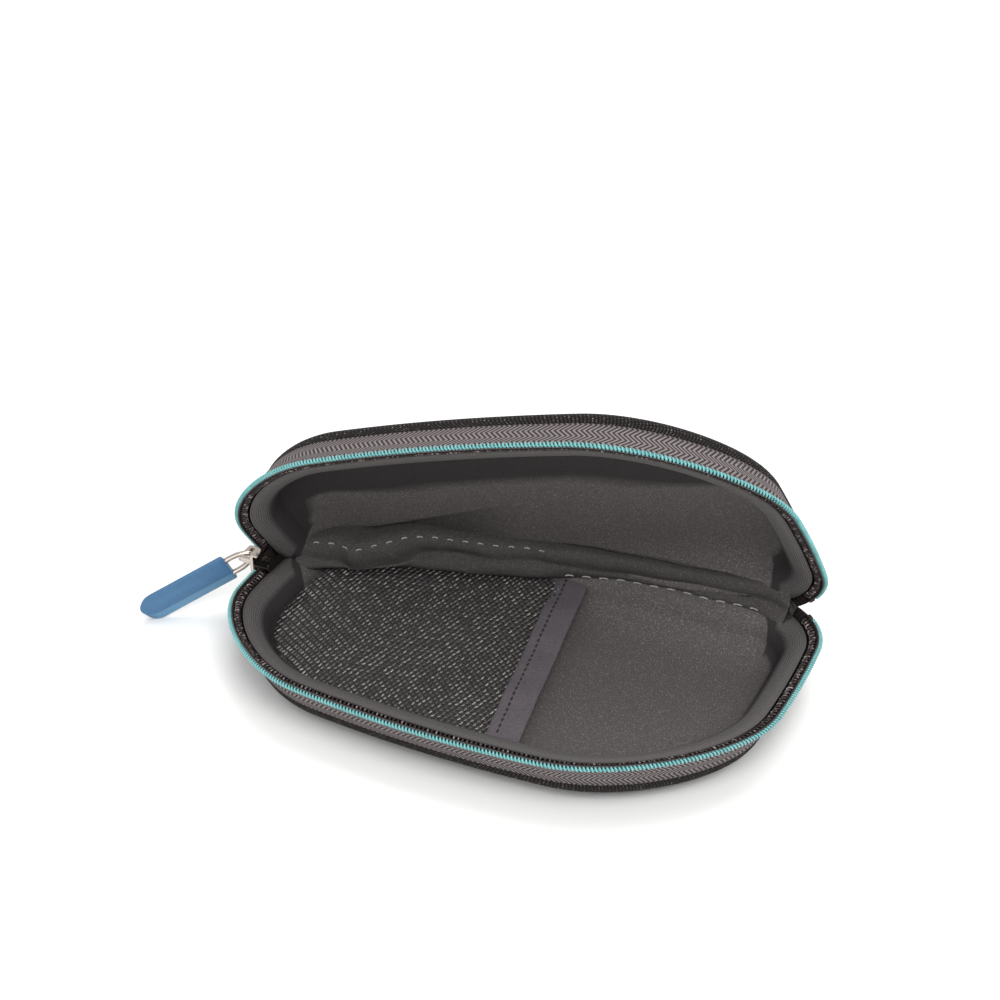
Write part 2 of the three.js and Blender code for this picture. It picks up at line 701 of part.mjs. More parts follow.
// Clamp that ends one coil at the hinge's right end.
function topStop(side) {
  const band = bandOf([
    new THREE.Vector2(COIL_INSET - COIL_RADIUS - STOP_WALL, COIL_DEPTH - COIL_RADIUS),
    new THREE.Vector2(COIL_INSET + COIL_RADIUS, COIL_DEPTH - COIL_RADIUS),
    new THREE.Vector2(COIL_INSET + COIL_RADIUS, COIL_DEPTH + COIL_RADIUS + STOP_WALL),
    new THREE.Vector2(COIL_INSET - COIL_RADIUS - STOP_WALL, COIL_DEPTH + COIL_RADIUS + STOP_WALL),
  ], side);
  const leftHalf = new THREE.BoxGeometry(WORKSPACE, WORKSPACE, WORKSPACE)
    .translate(-WORKSPACE / 2, 0, RIM_HEIGHT);
  return minus(band, blockBehind(HINGE_CLEARANCE), blockAhead(HINGE_CLEARANCE + STOP_LENGTH), leftHalf);
}

// Pull: the direction it hangs in, its width and the way its face looks

const PULL_WAY = new THREE.Vector3(
  -Math.cos(PULL_YAW) * Math.cos(PULL_DROOP),
  -Math.sin(PULL_YAW) * Math.cos(PULL_DROOP),
  -Math.sin(PULL_DROOP),
);
const PULL_FACE = new THREE.Vector3(Math.sin(PULL_YAW), -Math.cos(PULL_YAW), 0);
const PULL_ACROSS = PULL_FACE.clone().cross(PULL_WAY);
const PULL_PIVOT = new THREE.Vector3(CHAIN_X + TUNNEL_INSET, 0, RIM_HEIGHT);

// Moves a piece drawn with X along the pull and Y across it to its place on the slider.
function onPull(geometry) {
  geometry.applyMatrix4(new THREE.Matrix4().makeBasis(PULL_WAY, PULL_ACROSS, PULL_FACE));
  return geometry.translate(PULL_PIVOT.x, PULL_PIVOT.y, PULL_PIVOT.z);
}

// Straight runs with rounded corners, as one curve.
function bailPath(extra) {
  const far = BAIL_LENGTH + BAIL_SEAT + extra;
  const path = new THREE.CurvePath();
  const at = (x, y) => new THREE.Vector3(x, y, 0);
  path.add(new THREE.LineCurve3(at(far, BAIL_HALF_WIDTH), at(BAIL_CORNER, BAIL_HALF_WIDTH)));
  path.add(new THREE.QuadraticBezierCurve3(
    at(BAIL_CORNER, BAIL_HALF_WIDTH), at(0, BAIL_HALF_WIDTH), at(0, BAIL_HALF_WIDTH - BAIL_CORNER)));
  path.add(new THREE.LineCurve3(
    at(0, BAIL_HALF_WIDTH - BAIL_CORNER), at(0, BAIL_CORNER - BAIL_HALF_WIDTH)));
  path.add(new THREE.QuadraticBezierCurve3(
    at(0, BAIL_CORNER - BAIL_HALF_WIDTH), at(0, -BAIL_HALF_WIDTH), at(BAIL_CORNER, -BAIL_HALF_WIDTH)));
  path.add(new THREE.LineCurve3(at(BAIL_CORNER, -BAIL_HALF_WIDTH), at(far, -BAIL_HALF_WIDTH)));
  return path;
}

function pullBail() {
  const wire = new THREE.Shape().absarc(0, 0, BAIL_WIRE_RADIUS, 0, 2 * Math.PI);
  const bail = new THREE.ExtrudeGeometry(wire, { steps: 28, extrudePath: bailPath(0), curveSegments: 4 });
  return onPull(facingOut(weldedFrom(bail)));
}

// Moulded tab: square where the bail enters, round at the far end, with sockets for the wire.
function pullTab() {
  const half = TAB_WIDTH / 2 - TAB_BEVEL;
  const near = BAIL_LENGTH + TAB_BEVEL;
  const far = BAIL_LENGTH + TAB_LENGTH - TAB_BEVEL - half;
  const outline = new THREE.Shape();
  outline.moveTo(near, -half);
  outline.lineTo(far, -half);
  outline.absarc(far, 0, half, -Math.PI / 2, Math.PI / 2);
  outline.lineTo(near, half);
  const depth = TAB_THICKNESS - 2 * TAB_BEVEL;
  const tab = new THREE.ExtrudeGeometry(outline, {
    depth, bevelThickness: TAB_BEVEL, bevelSize: TAB_BEVEL, bevelSegments: 2, curveSegments: 10,
  });
  tab.translate(0, 0, -depth / 2);
  const socketRadius = BAIL_WIRE_RADIUS + SEAT_CLEARANCE;
  const socketLength = 2 * (BAIL_SEAT + SEAT_CLEARANCE);
  const sockets = [-1, 1].map((side) => {
    const socket = new THREE.CylinderGeometry(socketRadius, socketRadius, socketLength, 10);
    socket.rotateZ(Math.PI / 2);
    return socket.translate(BAIL_LENGTH, side * BAIL_HALF_WIDTH, 0);
  });
  return onPull(minus(tab, ...sockets));
}

// Assembly

const glucoseMeterCase = new THREE.Group();
glucoseMeterCase.name = 'glucose_meter_case';

function pieceOf(name, geometry, look) {
  const mesh = new THREE.Mesh(geometry, look);
  mesh.name = name;
  return mesh;
}

// Base: all three layers run under the whole outline, the zip stops at the hinge.
const BASE = -1;
const baseZipCut = (geometry, reach) => {
  const rightBehind = blockBehind(HINGE_CLEARANCE + STOP_LENGTH + LAYER_GAP);
  const leftSlab = new THREE.BoxGeometry(CASE_HALF_LENGTH, WORKSPACE, WORKSPACE)
    .translate(-CASE_HALF_LENGTH, reach - WORKSPACE / 2, RIM_HEIGHT);
  const ahead = minus(geometry, rightBehind);
  const left = common(geometry, leftSlab);
  return plus(ahead, left);
};

glucoseMeterCase.add(
  pieceOf('base_outer_fabric', fabricLayer(BASE), LOOKS.panel),
  pieceOf('base_foam_core', foamLayer(BASE), LOOKS.foam),
  pieceOf('base_lining', liningLayer(BASE), LOOKS.lining),
  pieceOf('base_zip_tape', baseZipCut(tapeBand(BASE), SPINE_END_REACH - LAYER_GAP), LOOKS.tape),
  pieceOf('base_zip_coil', baseZipCut(coilBand(BASE), SLIDER_LENGTH / 2), LOOKS.coil),
  pieceOf('base_top_stop', topStop(BASE), LOOKS.nickel),
  pieceOf('base_hinge_facing', baseFacing(), LOOKS.lining),
  pieceOf('pocket_net', pocketNet(), LOOKS.net),
  pieceOf('pocket_hem', pocketHem(), LOOKS.hem),
);

// Spine and the soft corner stay with the base.
glucoseMeterCase.add(
  pieceOf('spine_fabric', spineBand(0, FABRIC_THICKNESS), LOOKS.panel),
  pieceOf('spine_foam', spineBand(
    FABRIC_THICKNESS + LAYER_GAP,
    FABRIC_THICKNESS + LAYER_GAP + SPINE_FOAM_THICKNESS,
  ), LOOKS.foam),
);

// Slider and pull
glucoseMeterCase.add(
  pieceOf('slider_body', sliderBody(), LOOKS.nickel),
  pieceOf('closed_chain', closedChain(), LOOKS.coil),
  pieceOf('zip_bottom_stop', bottomStop(), LOOKS.nickel),
  pieceOf('pull_bail', pullBail(), LOOKS.nickel),
  pieceOf('pull_tab', pullTab(), LOOKS.pull),
);

// Lid: drawn closed over the base, then swung open about the hinge line.
const LID = 1;
const lidPart = (geometry) => minus(geometry, blockBehind(HINGE_CLEARANCE));
const lidSwing = new THREE.Group();
const hingePoint = spotAt(0, 0, RIM_HEIGHT);
lidSwing.position.copy(hingePoint);
lidSwing.quaternion.setFromAxisAngle(new THREE.Vector3(ALONG.x, ALONG.y, 0), -OPEN_ANGLE);
[
  pieceOf('lid_outer_fabric', lidPart(fabricLayer(LID)), LOOKS.panel),
  pieceOf('lid_foam_core', lidPart(foamLayer(LID)), LOOKS.foam),
  pieceOf('lid_lining', lidPart(liningLayer(LID)), LOOKS.lining),
  pieceOf('lid_zip_tape', minus(
    tapeBand(LID),
    blockBehind(LID_ZIP_CLEARANCE),
    blockLeftBehind(-SLIDER_LENGTH / 2 - HINGE_CLEARANCE),
  ), LOOKS.tape),
  pieceOf('lid_zip_coil', minus(
    coilBand(LID),
    blockBehind(HINGE_CLEARANCE + STOP_LENGTH + LAYER_GAP),
    blockLeftBehind(-SLIDER_LENGTH / 2 - LID_ZIP_CLEARANCE),
  ), LOOKS.coil),
  pieceOf('lid_top_stop', topStop(LID), LOOKS.nickel),
  pieceOf('lid_hinge_facing', lidFacing(), LOOKS.lining),
].forEach((piece) => {
  piece.position.copy(hingePoint).negate();
  lidSwing.add(piece);
});
glucoseMeterCase.add(lidSwing);

// The lid's laminate behind the hinge folds down under the crease.
glucoseMeterCase.add(
  pieceOf('corner_outer_fabric', cornerLayer(0, FABRIC_THICKNESS, CORNER_BEHIND), LOOKS.panel),
  pieceOf('corner_lining', cornerLayer(
    FABRIC_THICKNESS + LAYER_GAP,
    LINING_THICKNESS,
    CORNER_BEHIND,
  ), LOOKS.lining),
);

export default glucoseMeterCase;
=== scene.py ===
"""A soft zip case for a glucose meter, standing open.

Two moulded halves on a fabric spine, with a coil zip, a net pocket and a blue pull."""

import bpy
import numpy as np
from mathutils import Matrix, Vector


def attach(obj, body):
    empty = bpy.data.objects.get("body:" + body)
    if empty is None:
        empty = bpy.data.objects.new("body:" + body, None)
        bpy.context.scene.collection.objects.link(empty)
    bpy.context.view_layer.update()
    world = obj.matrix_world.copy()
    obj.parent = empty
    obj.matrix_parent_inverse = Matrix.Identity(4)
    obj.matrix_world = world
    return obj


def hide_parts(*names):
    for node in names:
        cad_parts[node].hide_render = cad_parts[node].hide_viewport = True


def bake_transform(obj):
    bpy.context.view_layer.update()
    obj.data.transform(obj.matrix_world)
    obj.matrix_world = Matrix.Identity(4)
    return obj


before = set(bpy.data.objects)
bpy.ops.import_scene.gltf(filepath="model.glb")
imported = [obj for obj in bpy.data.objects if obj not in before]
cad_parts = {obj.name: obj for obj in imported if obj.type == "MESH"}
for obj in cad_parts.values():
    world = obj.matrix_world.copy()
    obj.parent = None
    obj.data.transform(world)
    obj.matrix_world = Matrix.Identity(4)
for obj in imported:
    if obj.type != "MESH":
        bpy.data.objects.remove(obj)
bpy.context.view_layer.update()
scene = bpy.context.scene

# Camera, floor and light.
# The view of the photograph's open case: 35 degrees up, 27 degrees round to the right, from 0.66 m.
# A pale floor and soft white light from all round, with a lamp at the right, one in front and one above.
AIM, DISTANCE = np.array([0, 0, 0.018]), 0.6625
FLOOR_REACH, LAMP_AIM = 4.0, Vector((0, 0, 0.02))
cam_data = bpy.data.cameras.new("camera")
cam_data.lens, cam_data.sensor_width = 92.4, 36.0
cam_data.shift_x, cam_data.shift_y = -0.0155, 0.1265
cam_data.clip_start, cam_data.clip_end = 0.05, 20.0
camera = bpy.data.objects.new("camera", cam_data)
scene.collection.objects.link(camera)
scene.camera = camera
elev, azim, roll = np.radians((34.9, 27.3, 1.2))
right = np.array([np.cos(azim), np.sin(azim), 0.0])
ahead = np.array([-np.sin(azim) * np.cos(elev), np.cos(azim) * np.cos(elev), -np.sin(elev)])
up = np.cross(right, ahead)
cam_right = right * np.cos(roll) - up * np.sin(roll)
cam_up = right * np.sin(roll) + up * np.cos(roll)
cam_rows = np.column_stack([cam_right, cam_up, -ahead, AIM - ahead * DISTANCE])
camera.matrix_world = Matrix(np.vstack([cam_rows, [0, 0, 0, 1]]).tolist())

floor_corners = [(x * FLOOR_REACH, y * FLOOR_REACH, 0) for x, y in ((-1, -1), (1, -1), (1, 1), (-1, 1))]
floor_mesh = bpy.data.meshes.new("floor")
floor_mesh.from_pydata(floor_corners, [], [(0, 1, 2, 3)])
floor = bpy.data.objects.new("floor", floor_mesh)
scene.collection.objects.link(floor)
floor_mat = bpy.data.materials.new("floor")
floor_mat.use_nodes = True
floor_look = floor_mat.node_tree.nodes["Principled BSDF"].inputs
floor_look["Base Color"].default_value = (0.93, 0.93, 0.92, 1)
floor_look["Roughness"].default_value = 0.9
floor_look["Specular IOR Level"].default_value = 0.1
floor_mesh.materials.append(floor_mat)

world = bpy.data.worlds.new("studio")
world.use_nodes = True
sky = world.node_tree.nodes["Background"].inputs
sky["Color"].default_value = (1, 1, 1, 1)
sky["Strength"].default_value = 0.72
scene.world = world


def area_light(name, place, size, watts):
    """A square light at a place, turned to shine at the middle of the case."""
    data = bpy.data.lights.new(name, "AREA")
    data.shape, data.size, data.energy = "SQUARE", size, watts
    lamp = bpy.data.objects.new(name, data)
    lamp.location = place
    lamp.rotation_euler = (LAMP_AIM - Vector(place)).to_track_quat("-Z", "Y").to_euler()
    scene.collection.objects.link(lamp)


area_light("key", (0.55, -0.6, 1.0), 0.6, 10)
area_light("fill", (0.1, -1.1, 0.5), 0.8, 2.4)
area_light("top", (0.1, 0.4, 1.2), 0.8, 6)
scene.view_settings.view_transform = "Standard"

# Base outer fabric.
# Coarse black nylon laminated to foam and hot-moulded into a shallow dome with a flat panel.
# Its rim turns in over the zip tape. The outline and the dome's section are those of both halves.
MM = 0.001
HALF_LENGTH, FRONT, BACK, DEPTH = 76.0, 50.0, 43.0, 18.0
# Each corner's side in x, side in y and radius, from the back right round to the front right.
CORNERS = ((1, 1, 18), (-1, 1, 24), (-1, -1, 34), (1, -1, 44))
CORNER_SHRINK, LEAST_CORNER = 0.72, 4.0
FRONT_BOW, SIDE_BOW = 0.2, 0.06
STATIONS = 360
DOME_FOOT, DOME_REACH, DOME_POWER, DOME_STEPS = (6.2, 9.6), (17.9, 8.4), 2.1, 14
FABRIC, THREAD_PITCH, WEAVE_TURN = 1.0, 0.85, 0.9
HINGE_TURN = np.arctan2(BACK, 2 * HALF_LENGTH)
HINGE_POINT = np.array([-HALF_LENGTH, 0.0, DEPTH])
ALONG = np.array([np.cos(HINGE_TURN), np.sin(HINGE_TURN)])
AHEAD = np.array([np.sin(HINGE_TURN), -np.cos(HINGE_TURN)])
OPEN = np.radians(60)
FOLD, FOLD_WAY = 9.0, np.array([AHEAD[0] * 0.5, AHEAD[1] * 0.5, 0.866])
HALVINGS, NEARLY_ALL = 40, 0.999


def unit(vectors):
    """Vectors scaled to length 1."""
    return vectors / np.linalg.norm(vectors, axis=-1, keepdims=True)


def walked(line):
    """Length walked along a line of points, at each of them."""
    return np.concatenate([[0], np.cumsum(np.linalg.norm(np.diff(line, axis=0), axis=1))])


def smooth(t):
    """The smooth step t*t*(3-2t) for t from 0 to 1."""
    return t * t * (3 - 2 * t)


def outline(inset):
    """Plan of the case drawn in by an inset, in mm.

    Four arcs and four straight sides, each with the same number of points, are bowed: the front by x
    squared and the sides by y squared."""
    centres = []
    for sx, sy, radius in CORNERS:
        rad = max(radius - CORNER_SHRINK * inset, LEAST_CORNER)
        reach = BACK if sy > 0 else FRONT
        centres.append((np.array([sx * (HALF_LENGTH - inset - rad), sy * (reach - inset - rad)]), rad))
    share = np.linspace(0, 1, STATIONS // 8, endpoint=False)[:, None]
    pts = []
    for k, (centre, rad) in enumerate(centres):
        turn = (k + share) * np.pi / 2
        end = (k + 1) * np.pi / 2
        way = np.array([np.cos(end), np.sin(end)])
        after, after_rad = centres[(k + 1) % 4]
        pts.append(centre + rad * np.hstack([np.cos(turn), np.sin(turn)]))
        pts.append((centre + rad * way) * (1 - share) + (after + after_rad * way) * share)
    x, y = np.vstack(pts).T
    mid, half = (BACK - FRONT) / 2, (BACK + FRONT) / 2
    bow = np.where(y < mid, (mid - y) * FRONT_BOW * (x / HALF_LENGTH) ** 2, 0)
    return np.column_stack([x * (1 - SIDE_BOW * ((y - mid) / half) ** 2), y + bow])


def moved(line, amount):
    """A section line moved square to itself, inwards where the amount is positive."""
    way = unit(np.gradient(line, axis=0))
    return line + amount * np.column_stack([way[:, 1], -way[:, 0]])


def dome(amount=0.0):
    """Section of a half as insets and depths, in mm, moved inwards by an amount.

    It is a superellipse from its foot over the tape up to the flat panel."""
    turn = np.linspace(0, np.pi / 2, DOME_STEPS)
    line = np.column_stack([
        DOME_FOOT[0] + DOME_REACH[0] * (1 - np.cos(turn).clip(0) ** (2 / DOME_POWER)),
        DOME_FOOT[1] + DOME_REACH[1] * np.sin(turn) ** (2 / DOME_POWER),
    ])
    return moved(line, amount)


def rings(line, side):
    """The outline at each inset and depth of a line: side is 1 for the lid and -1 for the base."""
    return np.stack([np.column_stack([outline(i), np.full(STATIONS, DEPTH + side * d)]) for i, d in line])


def behind(points):
    """How far each point lies behind the hinge line, square to it, in mm."""
    return -((points[..., 0] + HALF_LENGTH) * AHEAD[0] + points[..., 1] * AHEAD[1])


def swung(points, share):
    """Points turned back about the hinge line by a share of the opening angle."""
    b = behind(points)
    z = points[..., 2] - DEPTH
    turn = share * OPEN
    out = points.copy()
    out[..., :2] -= (b * np.cos(turn) + z * np.sin(turn) - b)[..., None] * AHEAD
    out[..., 2] = z * np.cos(turn) - b * np.sin(turn) + DEPTH
    return out


def share_of(points):
    """How much a point at rest follows the lid.

    It is 0 at FOLD mm below the lid's cut face and 1 on it, with a smooth step between."""
    return smooth(((points - HINGE_POINT) @ FOLD_WAY / FOLD + 1).clip(0, 1))


def opened(points):
    """The open case's place of points drawn on the closed lid.

    Each is turned by the share that it has where it ends up, found by halving an interval."""
    low, high = np.zeros(points.shape[:-1]), np.ones(points.shape[:-1])
    for _ in range(HALVINGS):
        mid = (low + high) / 2
        less = share_of(swung(points, mid)) > mid
        low, high = np.where(less, mid, low), np.where(less, high, mid)
    full = share_of(swung(points, np.ones_like(low))) > NEARLY_ALL
    return swung(points, np.where(full, 1.0, (low + high) / 2))


def meshed(name, points, faces, look, flat=None):
    """A smooth object from points in mm, faces and, where given, each point's place on the flat piece."""
    mesh = bpy.data.meshes.new(name)
    mesh.from_pydata((points * MM).tolist(), [], faces)
    mesh.polygons.foreach_set("use_smooth", np.ones(len(mesh.polygons), bool))
    if flat is not None:
        index = np.empty(len(mesh.loops), int)
        mesh.loops.foreach_get("vertex_index", index)
        mesh.uv_layers.new(name="UVMap").data.foreach_set("uv", flat[index].ravel())
    mesh.materials.append(look)
    obj = bpy.data.objects.new(name, mesh)
    scene.collection.objects.link(obj)
    return obj


def quads_of(rows, cols):
    """Faces of a grid whose rows are rings, as numbers of points; a ring's last point joins its first."""
    r, c = np.meshgrid(np.arange(rows - 1), np.arange(cols), indexing="ij")
    after = (c + 1) % cols
    corners = [r * cols + c, r * cols + after, (r + 1) * cols + after, (r + 1) * cols + c]
    return np.stack(corners, -1).reshape(-1, 4)


def piece(name, grid, look, flat=None):
    """A closed surface through a grid of points in mm whose rows are rings.

    A fan closes each end ring, and the faces are turned out by the volume that they enclose."""
    rows, cols = grid.shape[:2]
    quads = quads_of(rows, cols)
    ids = np.arange(cols)
    after = np.roll(ids, -1)
    last, hub = (rows - 1) * cols, np.full(cols, rows * cols)
    fans = np.vstack([
        np.column_stack([after, ids, hub]),
        np.column_stack([last + ids, last + after, hub + 1]),
    ])
    points = np.vstack([grid.reshape(-1, 3), grid[0].mean(0), grid[-1].mean(0)])
    corner = points[np.vstack([quads[:, [0, 1, 2]], quads[:, [0, 2, 3]], fans])]
    if np.einsum("ij,ij->i", corner[:, 0], np.cross(corner[:, 1], corner[:, 2])).sum() < 0:
        quads, fans = quads[:, ::-1], fans[:, ::-1]
    if flat is not None:
        flat = np.vstack([flat.reshape(-1, 2), np.tile(flat.mean((0, 1)), (2, 1))])
    return meshed(name, points, quads.tolist() + fans.tolist(), look, flat)


def shell(outer, inner, side):
    """A moulded layer's grid: the outer line from the panel down to the rim, then the inner line back up."""
    grid = rings(np.vstack([outer[::-1], inner]), side)
    return opened(grid) if side > 0 else grid


def panel_flat(outer, inner):
    """Flat pattern of a moulded layer, in mm.

    Plan points are pushed outwards by what a length of the section has beyond its reach in plan. The
    length is counted from the foot on the outer line, and from the panel's middle on the inner one."""
    run = walked(inner)
    out = []
    for line, lengths in ((outer[::-1], walked(outer)), (inner, run[-1] - run)):
        reach = line[:, 0].max()
        for (inset, _), length in zip(line, lengths):
            ring = outline(inset)
            out.append(ring + unit(ring - ring.mean(0)) * max(length - (reach - inset), 0))
    return np.stack(out)


class Nodes:
    """A material's node tree with short calls to add and join nodes."""

    def __init__(self, tree):
        self.tree = tree

    def give(self, node, key, value):
        """Joins a node's input to a socket, or gives it a number or colour."""
        if isinstance(value, bpy.types.NodeSocket):
            self.tree.links.new(value, node.inputs[key])
        else:
            node.inputs[key].default_value = value

    def add(self, kind, values=(), **settings):
        """A node of a kind, with its settings and its inputs' values or sockets."""
        node = self.tree.nodes.new(kind)
        for key, value in settings.items():
            setattr(node, key, value)
        for key, value in dict(values).items():
            self.give(node, key, value)
        return node

    def finish(self, label, value):
        """Gives an input of the Principled surface a number, a colour or a socket."""
        self.give(self.tree.nodes["Principled BSDF"], label, value)

    def math(self, operation, a, b=0.0, c=0.0):
        """An operation on up to three numbers or sockets."""
        return self.add("ShaderNodeMath", {0: a, 1: b, 2: c}, operation=operation).outputs[0]

    def mix(self, share, *tones):
        """A tone between two by a share; each tone is red, green and blue, or a socket."""
        sides = {"Factor": share}
        for key, tone in zip("AB", tones):
            sides[key] = tone if isinstance(tone, bpy.types.NodeSocket) else (*tone, 1)
        return self.add("ShaderNodeMix", sides, data_type="RGBA").outputs["Result"]

    def span(self, value, low, high, start=0.0, end=1.0):
        """From start to end while a value runs from low to high, and held beyond them."""
        sides = {"Value": value, "From Min": low, "From Max": high, "To Min": start, "To Max": end}
        return self.add("ShaderNodeMapRange", sides).outputs[0]

    def noise(self, scale, detail=2.0, roughness=0.5):
        """Soft noise on the piece's own coordinates, with its scale per metre."""
        place = self.add("ShaderNodeTexCoord").outputs["Object"]
        sides = {"Vector": place, "Scale": scale, "Detail": detail, "Roughness": roughness}
        return self.add("ShaderNodeTexNoise", sides).outputs[0]

    def flat(self):
        """The place on the flat piece, as the outputs X and Y."""
        place = self.add("ShaderNodeUVMap", uv_map="UVMap").outputs[0]
        return self.add("ShaderNodeSeparateXYZ", {0: place}).outputs

    def relief(self, height, strength, depth):
        """A relief on the surface from a height, with its depth in metres."""
        bump = self.add("ShaderNodeBump", {"Height": height, "Strength": strength, "Distance": depth})
        self.finish("Normal", bump.outputs[0])


def material(name, colour, roughness, metallic=0.0, specular=0.5):
    """A named material with a Principled surface; returns it and its nodes."""
    mat = bpy.data.materials.new(name)
    mat.use_nodes = True
    n = Nodes(mat.node_tree)
    n.finish("Base Color", (*colour, 1))
    n.finish("Roughness", roughness)
    n.finish("Metallic", metallic)
    n.finish("Specular IOR Level", specular)
    return mat, n


def weave_group():
    """Coarse plain weave in flat-pattern millimetres, turned by about 52 degrees.

    Threads rise as a product of two sines; each crossing gets a painted highlight of random strength, and
    few are bright."""
    tree = bpy.data.node_groups.new("weave", "ShaderNodeTree")
    for label, way, kind in (("Flat", "INPUT", "Vector"), ("Pitch", "INPUT", "Float"),
                             ("Height", "OUTPUT", "Float"), ("PaintedHighlight", "OUTPUT", "Float")):
        tree.interface.new_socket(label, in_out=way, socket_type="NodeSocket" + kind)
    n, given, out = Nodes(tree), tree.nodes.new("NodeGroupInput"), tree.nodes.new("NodeGroupOutput")
    turned = n.add("ShaderNodeMapping", {"Vector": given.outputs["Flat"], "Rotation": (0, 0, WEAVE_TURN)})
    pitch = n.add("ShaderNodeCombineXYZ", {axis: given.outputs["Pitch"] for axis in "XYZ"})
    scaled = n.add("ShaderNodeVectorMath", {0: turned.outputs[0], 1: pitch.outputs[0]}, operation="DIVIDE")
    axes = n.add("ShaderNodeSeparateXYZ", {0: scaled.outputs[0]})
    waves = [n.math("SINE", n.math("MULTIPLY", axes.outputs[axis], np.pi)) for axis in "XY"]
    height = n.math("ABSOLUTE", n.math("MULTIPLY", *waves))
    cell = n.add("ShaderNodeVectorMath", {0: scaled.outputs[0]}, operation="FLOOR")
    chance = n.add("ShaderNodeTexWhiteNoise", {"Vector": cell.outputs[0]}, noise_dimensions="3D")
    # Painted highlight: a random strength for each crossing, strongest on the thread crowns.
    glint_strength = n.math("MULTIPLY_ADD", n.math("POWER", chance.outputs["Value"], 5.0), 0.8, 0.2)
    n.give(out, "Height", height)
    n.give(out, "PaintedHighlight", n.math("MULTIPLY", glint_strength, n.math("POWER", height, 4.0)))
    return tree


def nylon(name, pitch, gap, dark, light):
    """Black nylon: dark weave with painted highlights on scattered crossings, darker gaps and a relief from
    its threads.
    """
    mat, n = material(name, dark, 0.75, specular=0.12)
    flat = n.add("ShaderNodeUVMap", uv_map="UVMap").outputs[0]
    cloth = n.add("ShaderNodeGroup", {"Flat": flat, "Pitch": pitch}, node_tree=weave_group()).outputs
    n.finish("Base Color", n.mix(cloth["Height"], gap, n.mix(cloth["PaintedHighlight"], dark, light)))
    n.relief(cloth["Height"], 0.6, 0.0003)
    return mat


# Its light tone is a painted highlight on scattered thread crossings.
panel_nylon = nylon("panel_nylon", THREAD_PITCH, (0.004, 0.003, 0.003), (0.011, 0.008, 0.008),
                    (0.3, 0.265, 0.255))
turned_in = np.array([[7.3, 9.7]])
OUTER, INNER = dome(), np.vstack([turned_in, dome(FABRIC)[1:]])
base_fabric = piece("base_fabric", shell(OUTER, INNER, -1), panel_nylon, panel_flat(OUTER, INNER))
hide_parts("base_outer_fabric")
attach(base_fabric, "base")

# Lid outer fabric.
# The lid's laminate runs on past the hinge line down to the spine; when the lid stands open the stretch
# behind the line folds down softly, and it flattens out again as the lid closes.


def fold_with_lid(obj):
    """Bakes the piece's place into its points; its fold with the lid is already drawn into them."""
    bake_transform(obj)


lid_fabric = piece("lid_fabric", shell(OUTER, INNER, 1), panel_nylon, panel_flat(OUTER, INNER))
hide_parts("lid_outer_fabric", "corner_outer_fabric")
fold_with_lid(lid_fabric)

# Foam cores.
# Closed-cell foam sheet, laminated between fabric and lining and pressed to the same dome. It is out of
# sight, and it gives each half its stiff form.
HALVES = (("base", -1), ("lid", 1))
FOAM_OUT, FOAM_IN = 1.3, -0.4
PRESSED = dome() * 0.81 + [5.2, -1.18]
foam_mat, n = material("foam", (0.045, 0.045, 0.048), 0.9)
place = n.add("ShaderNodeTexCoord").outputs["Object"]
cells = n.add("ShaderNodeTexVoronoi", {"Vector": place, "Scale": 2500.0})
n.relief(cells.outputs["Distance"], 0.4, 0.0002)

for half, side in HALVES:
    foam = piece(f"{half}_foam", shell(dome(FOAM_OUT), moved(PRESSED, FOAM_IN), side), foam_mat)
    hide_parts(f"{half}_foam_core")
    if side > 0:
        fold_with_lid(foam)
    else:
        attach(foam, "base")

# Linings.
# A brushed black knit bonded to the foam: a smooth pale lip under the zip, a steep wall with fine knit
# lines that run with the rim, and a flat floor with light fibres in it.
LINING = 0.8
LIP_END, RIB_FADE, FLOOR_START = (4.6, 6.2), (6.6, 8.6), (12.6, 14.2)
RIB_PITCH, RIB_SHARE = 0.62, 0.3
# HELD_LENGTH and HELD_POWER spread the wall's painted shade over the lid's floor along its front.
HELD_LENGTH, HELD_POWER = 8.5, 0.3
BACK_RISE, BACK_REACH = 25, 8
RIM = rings([(0, 0)], 1)[0]


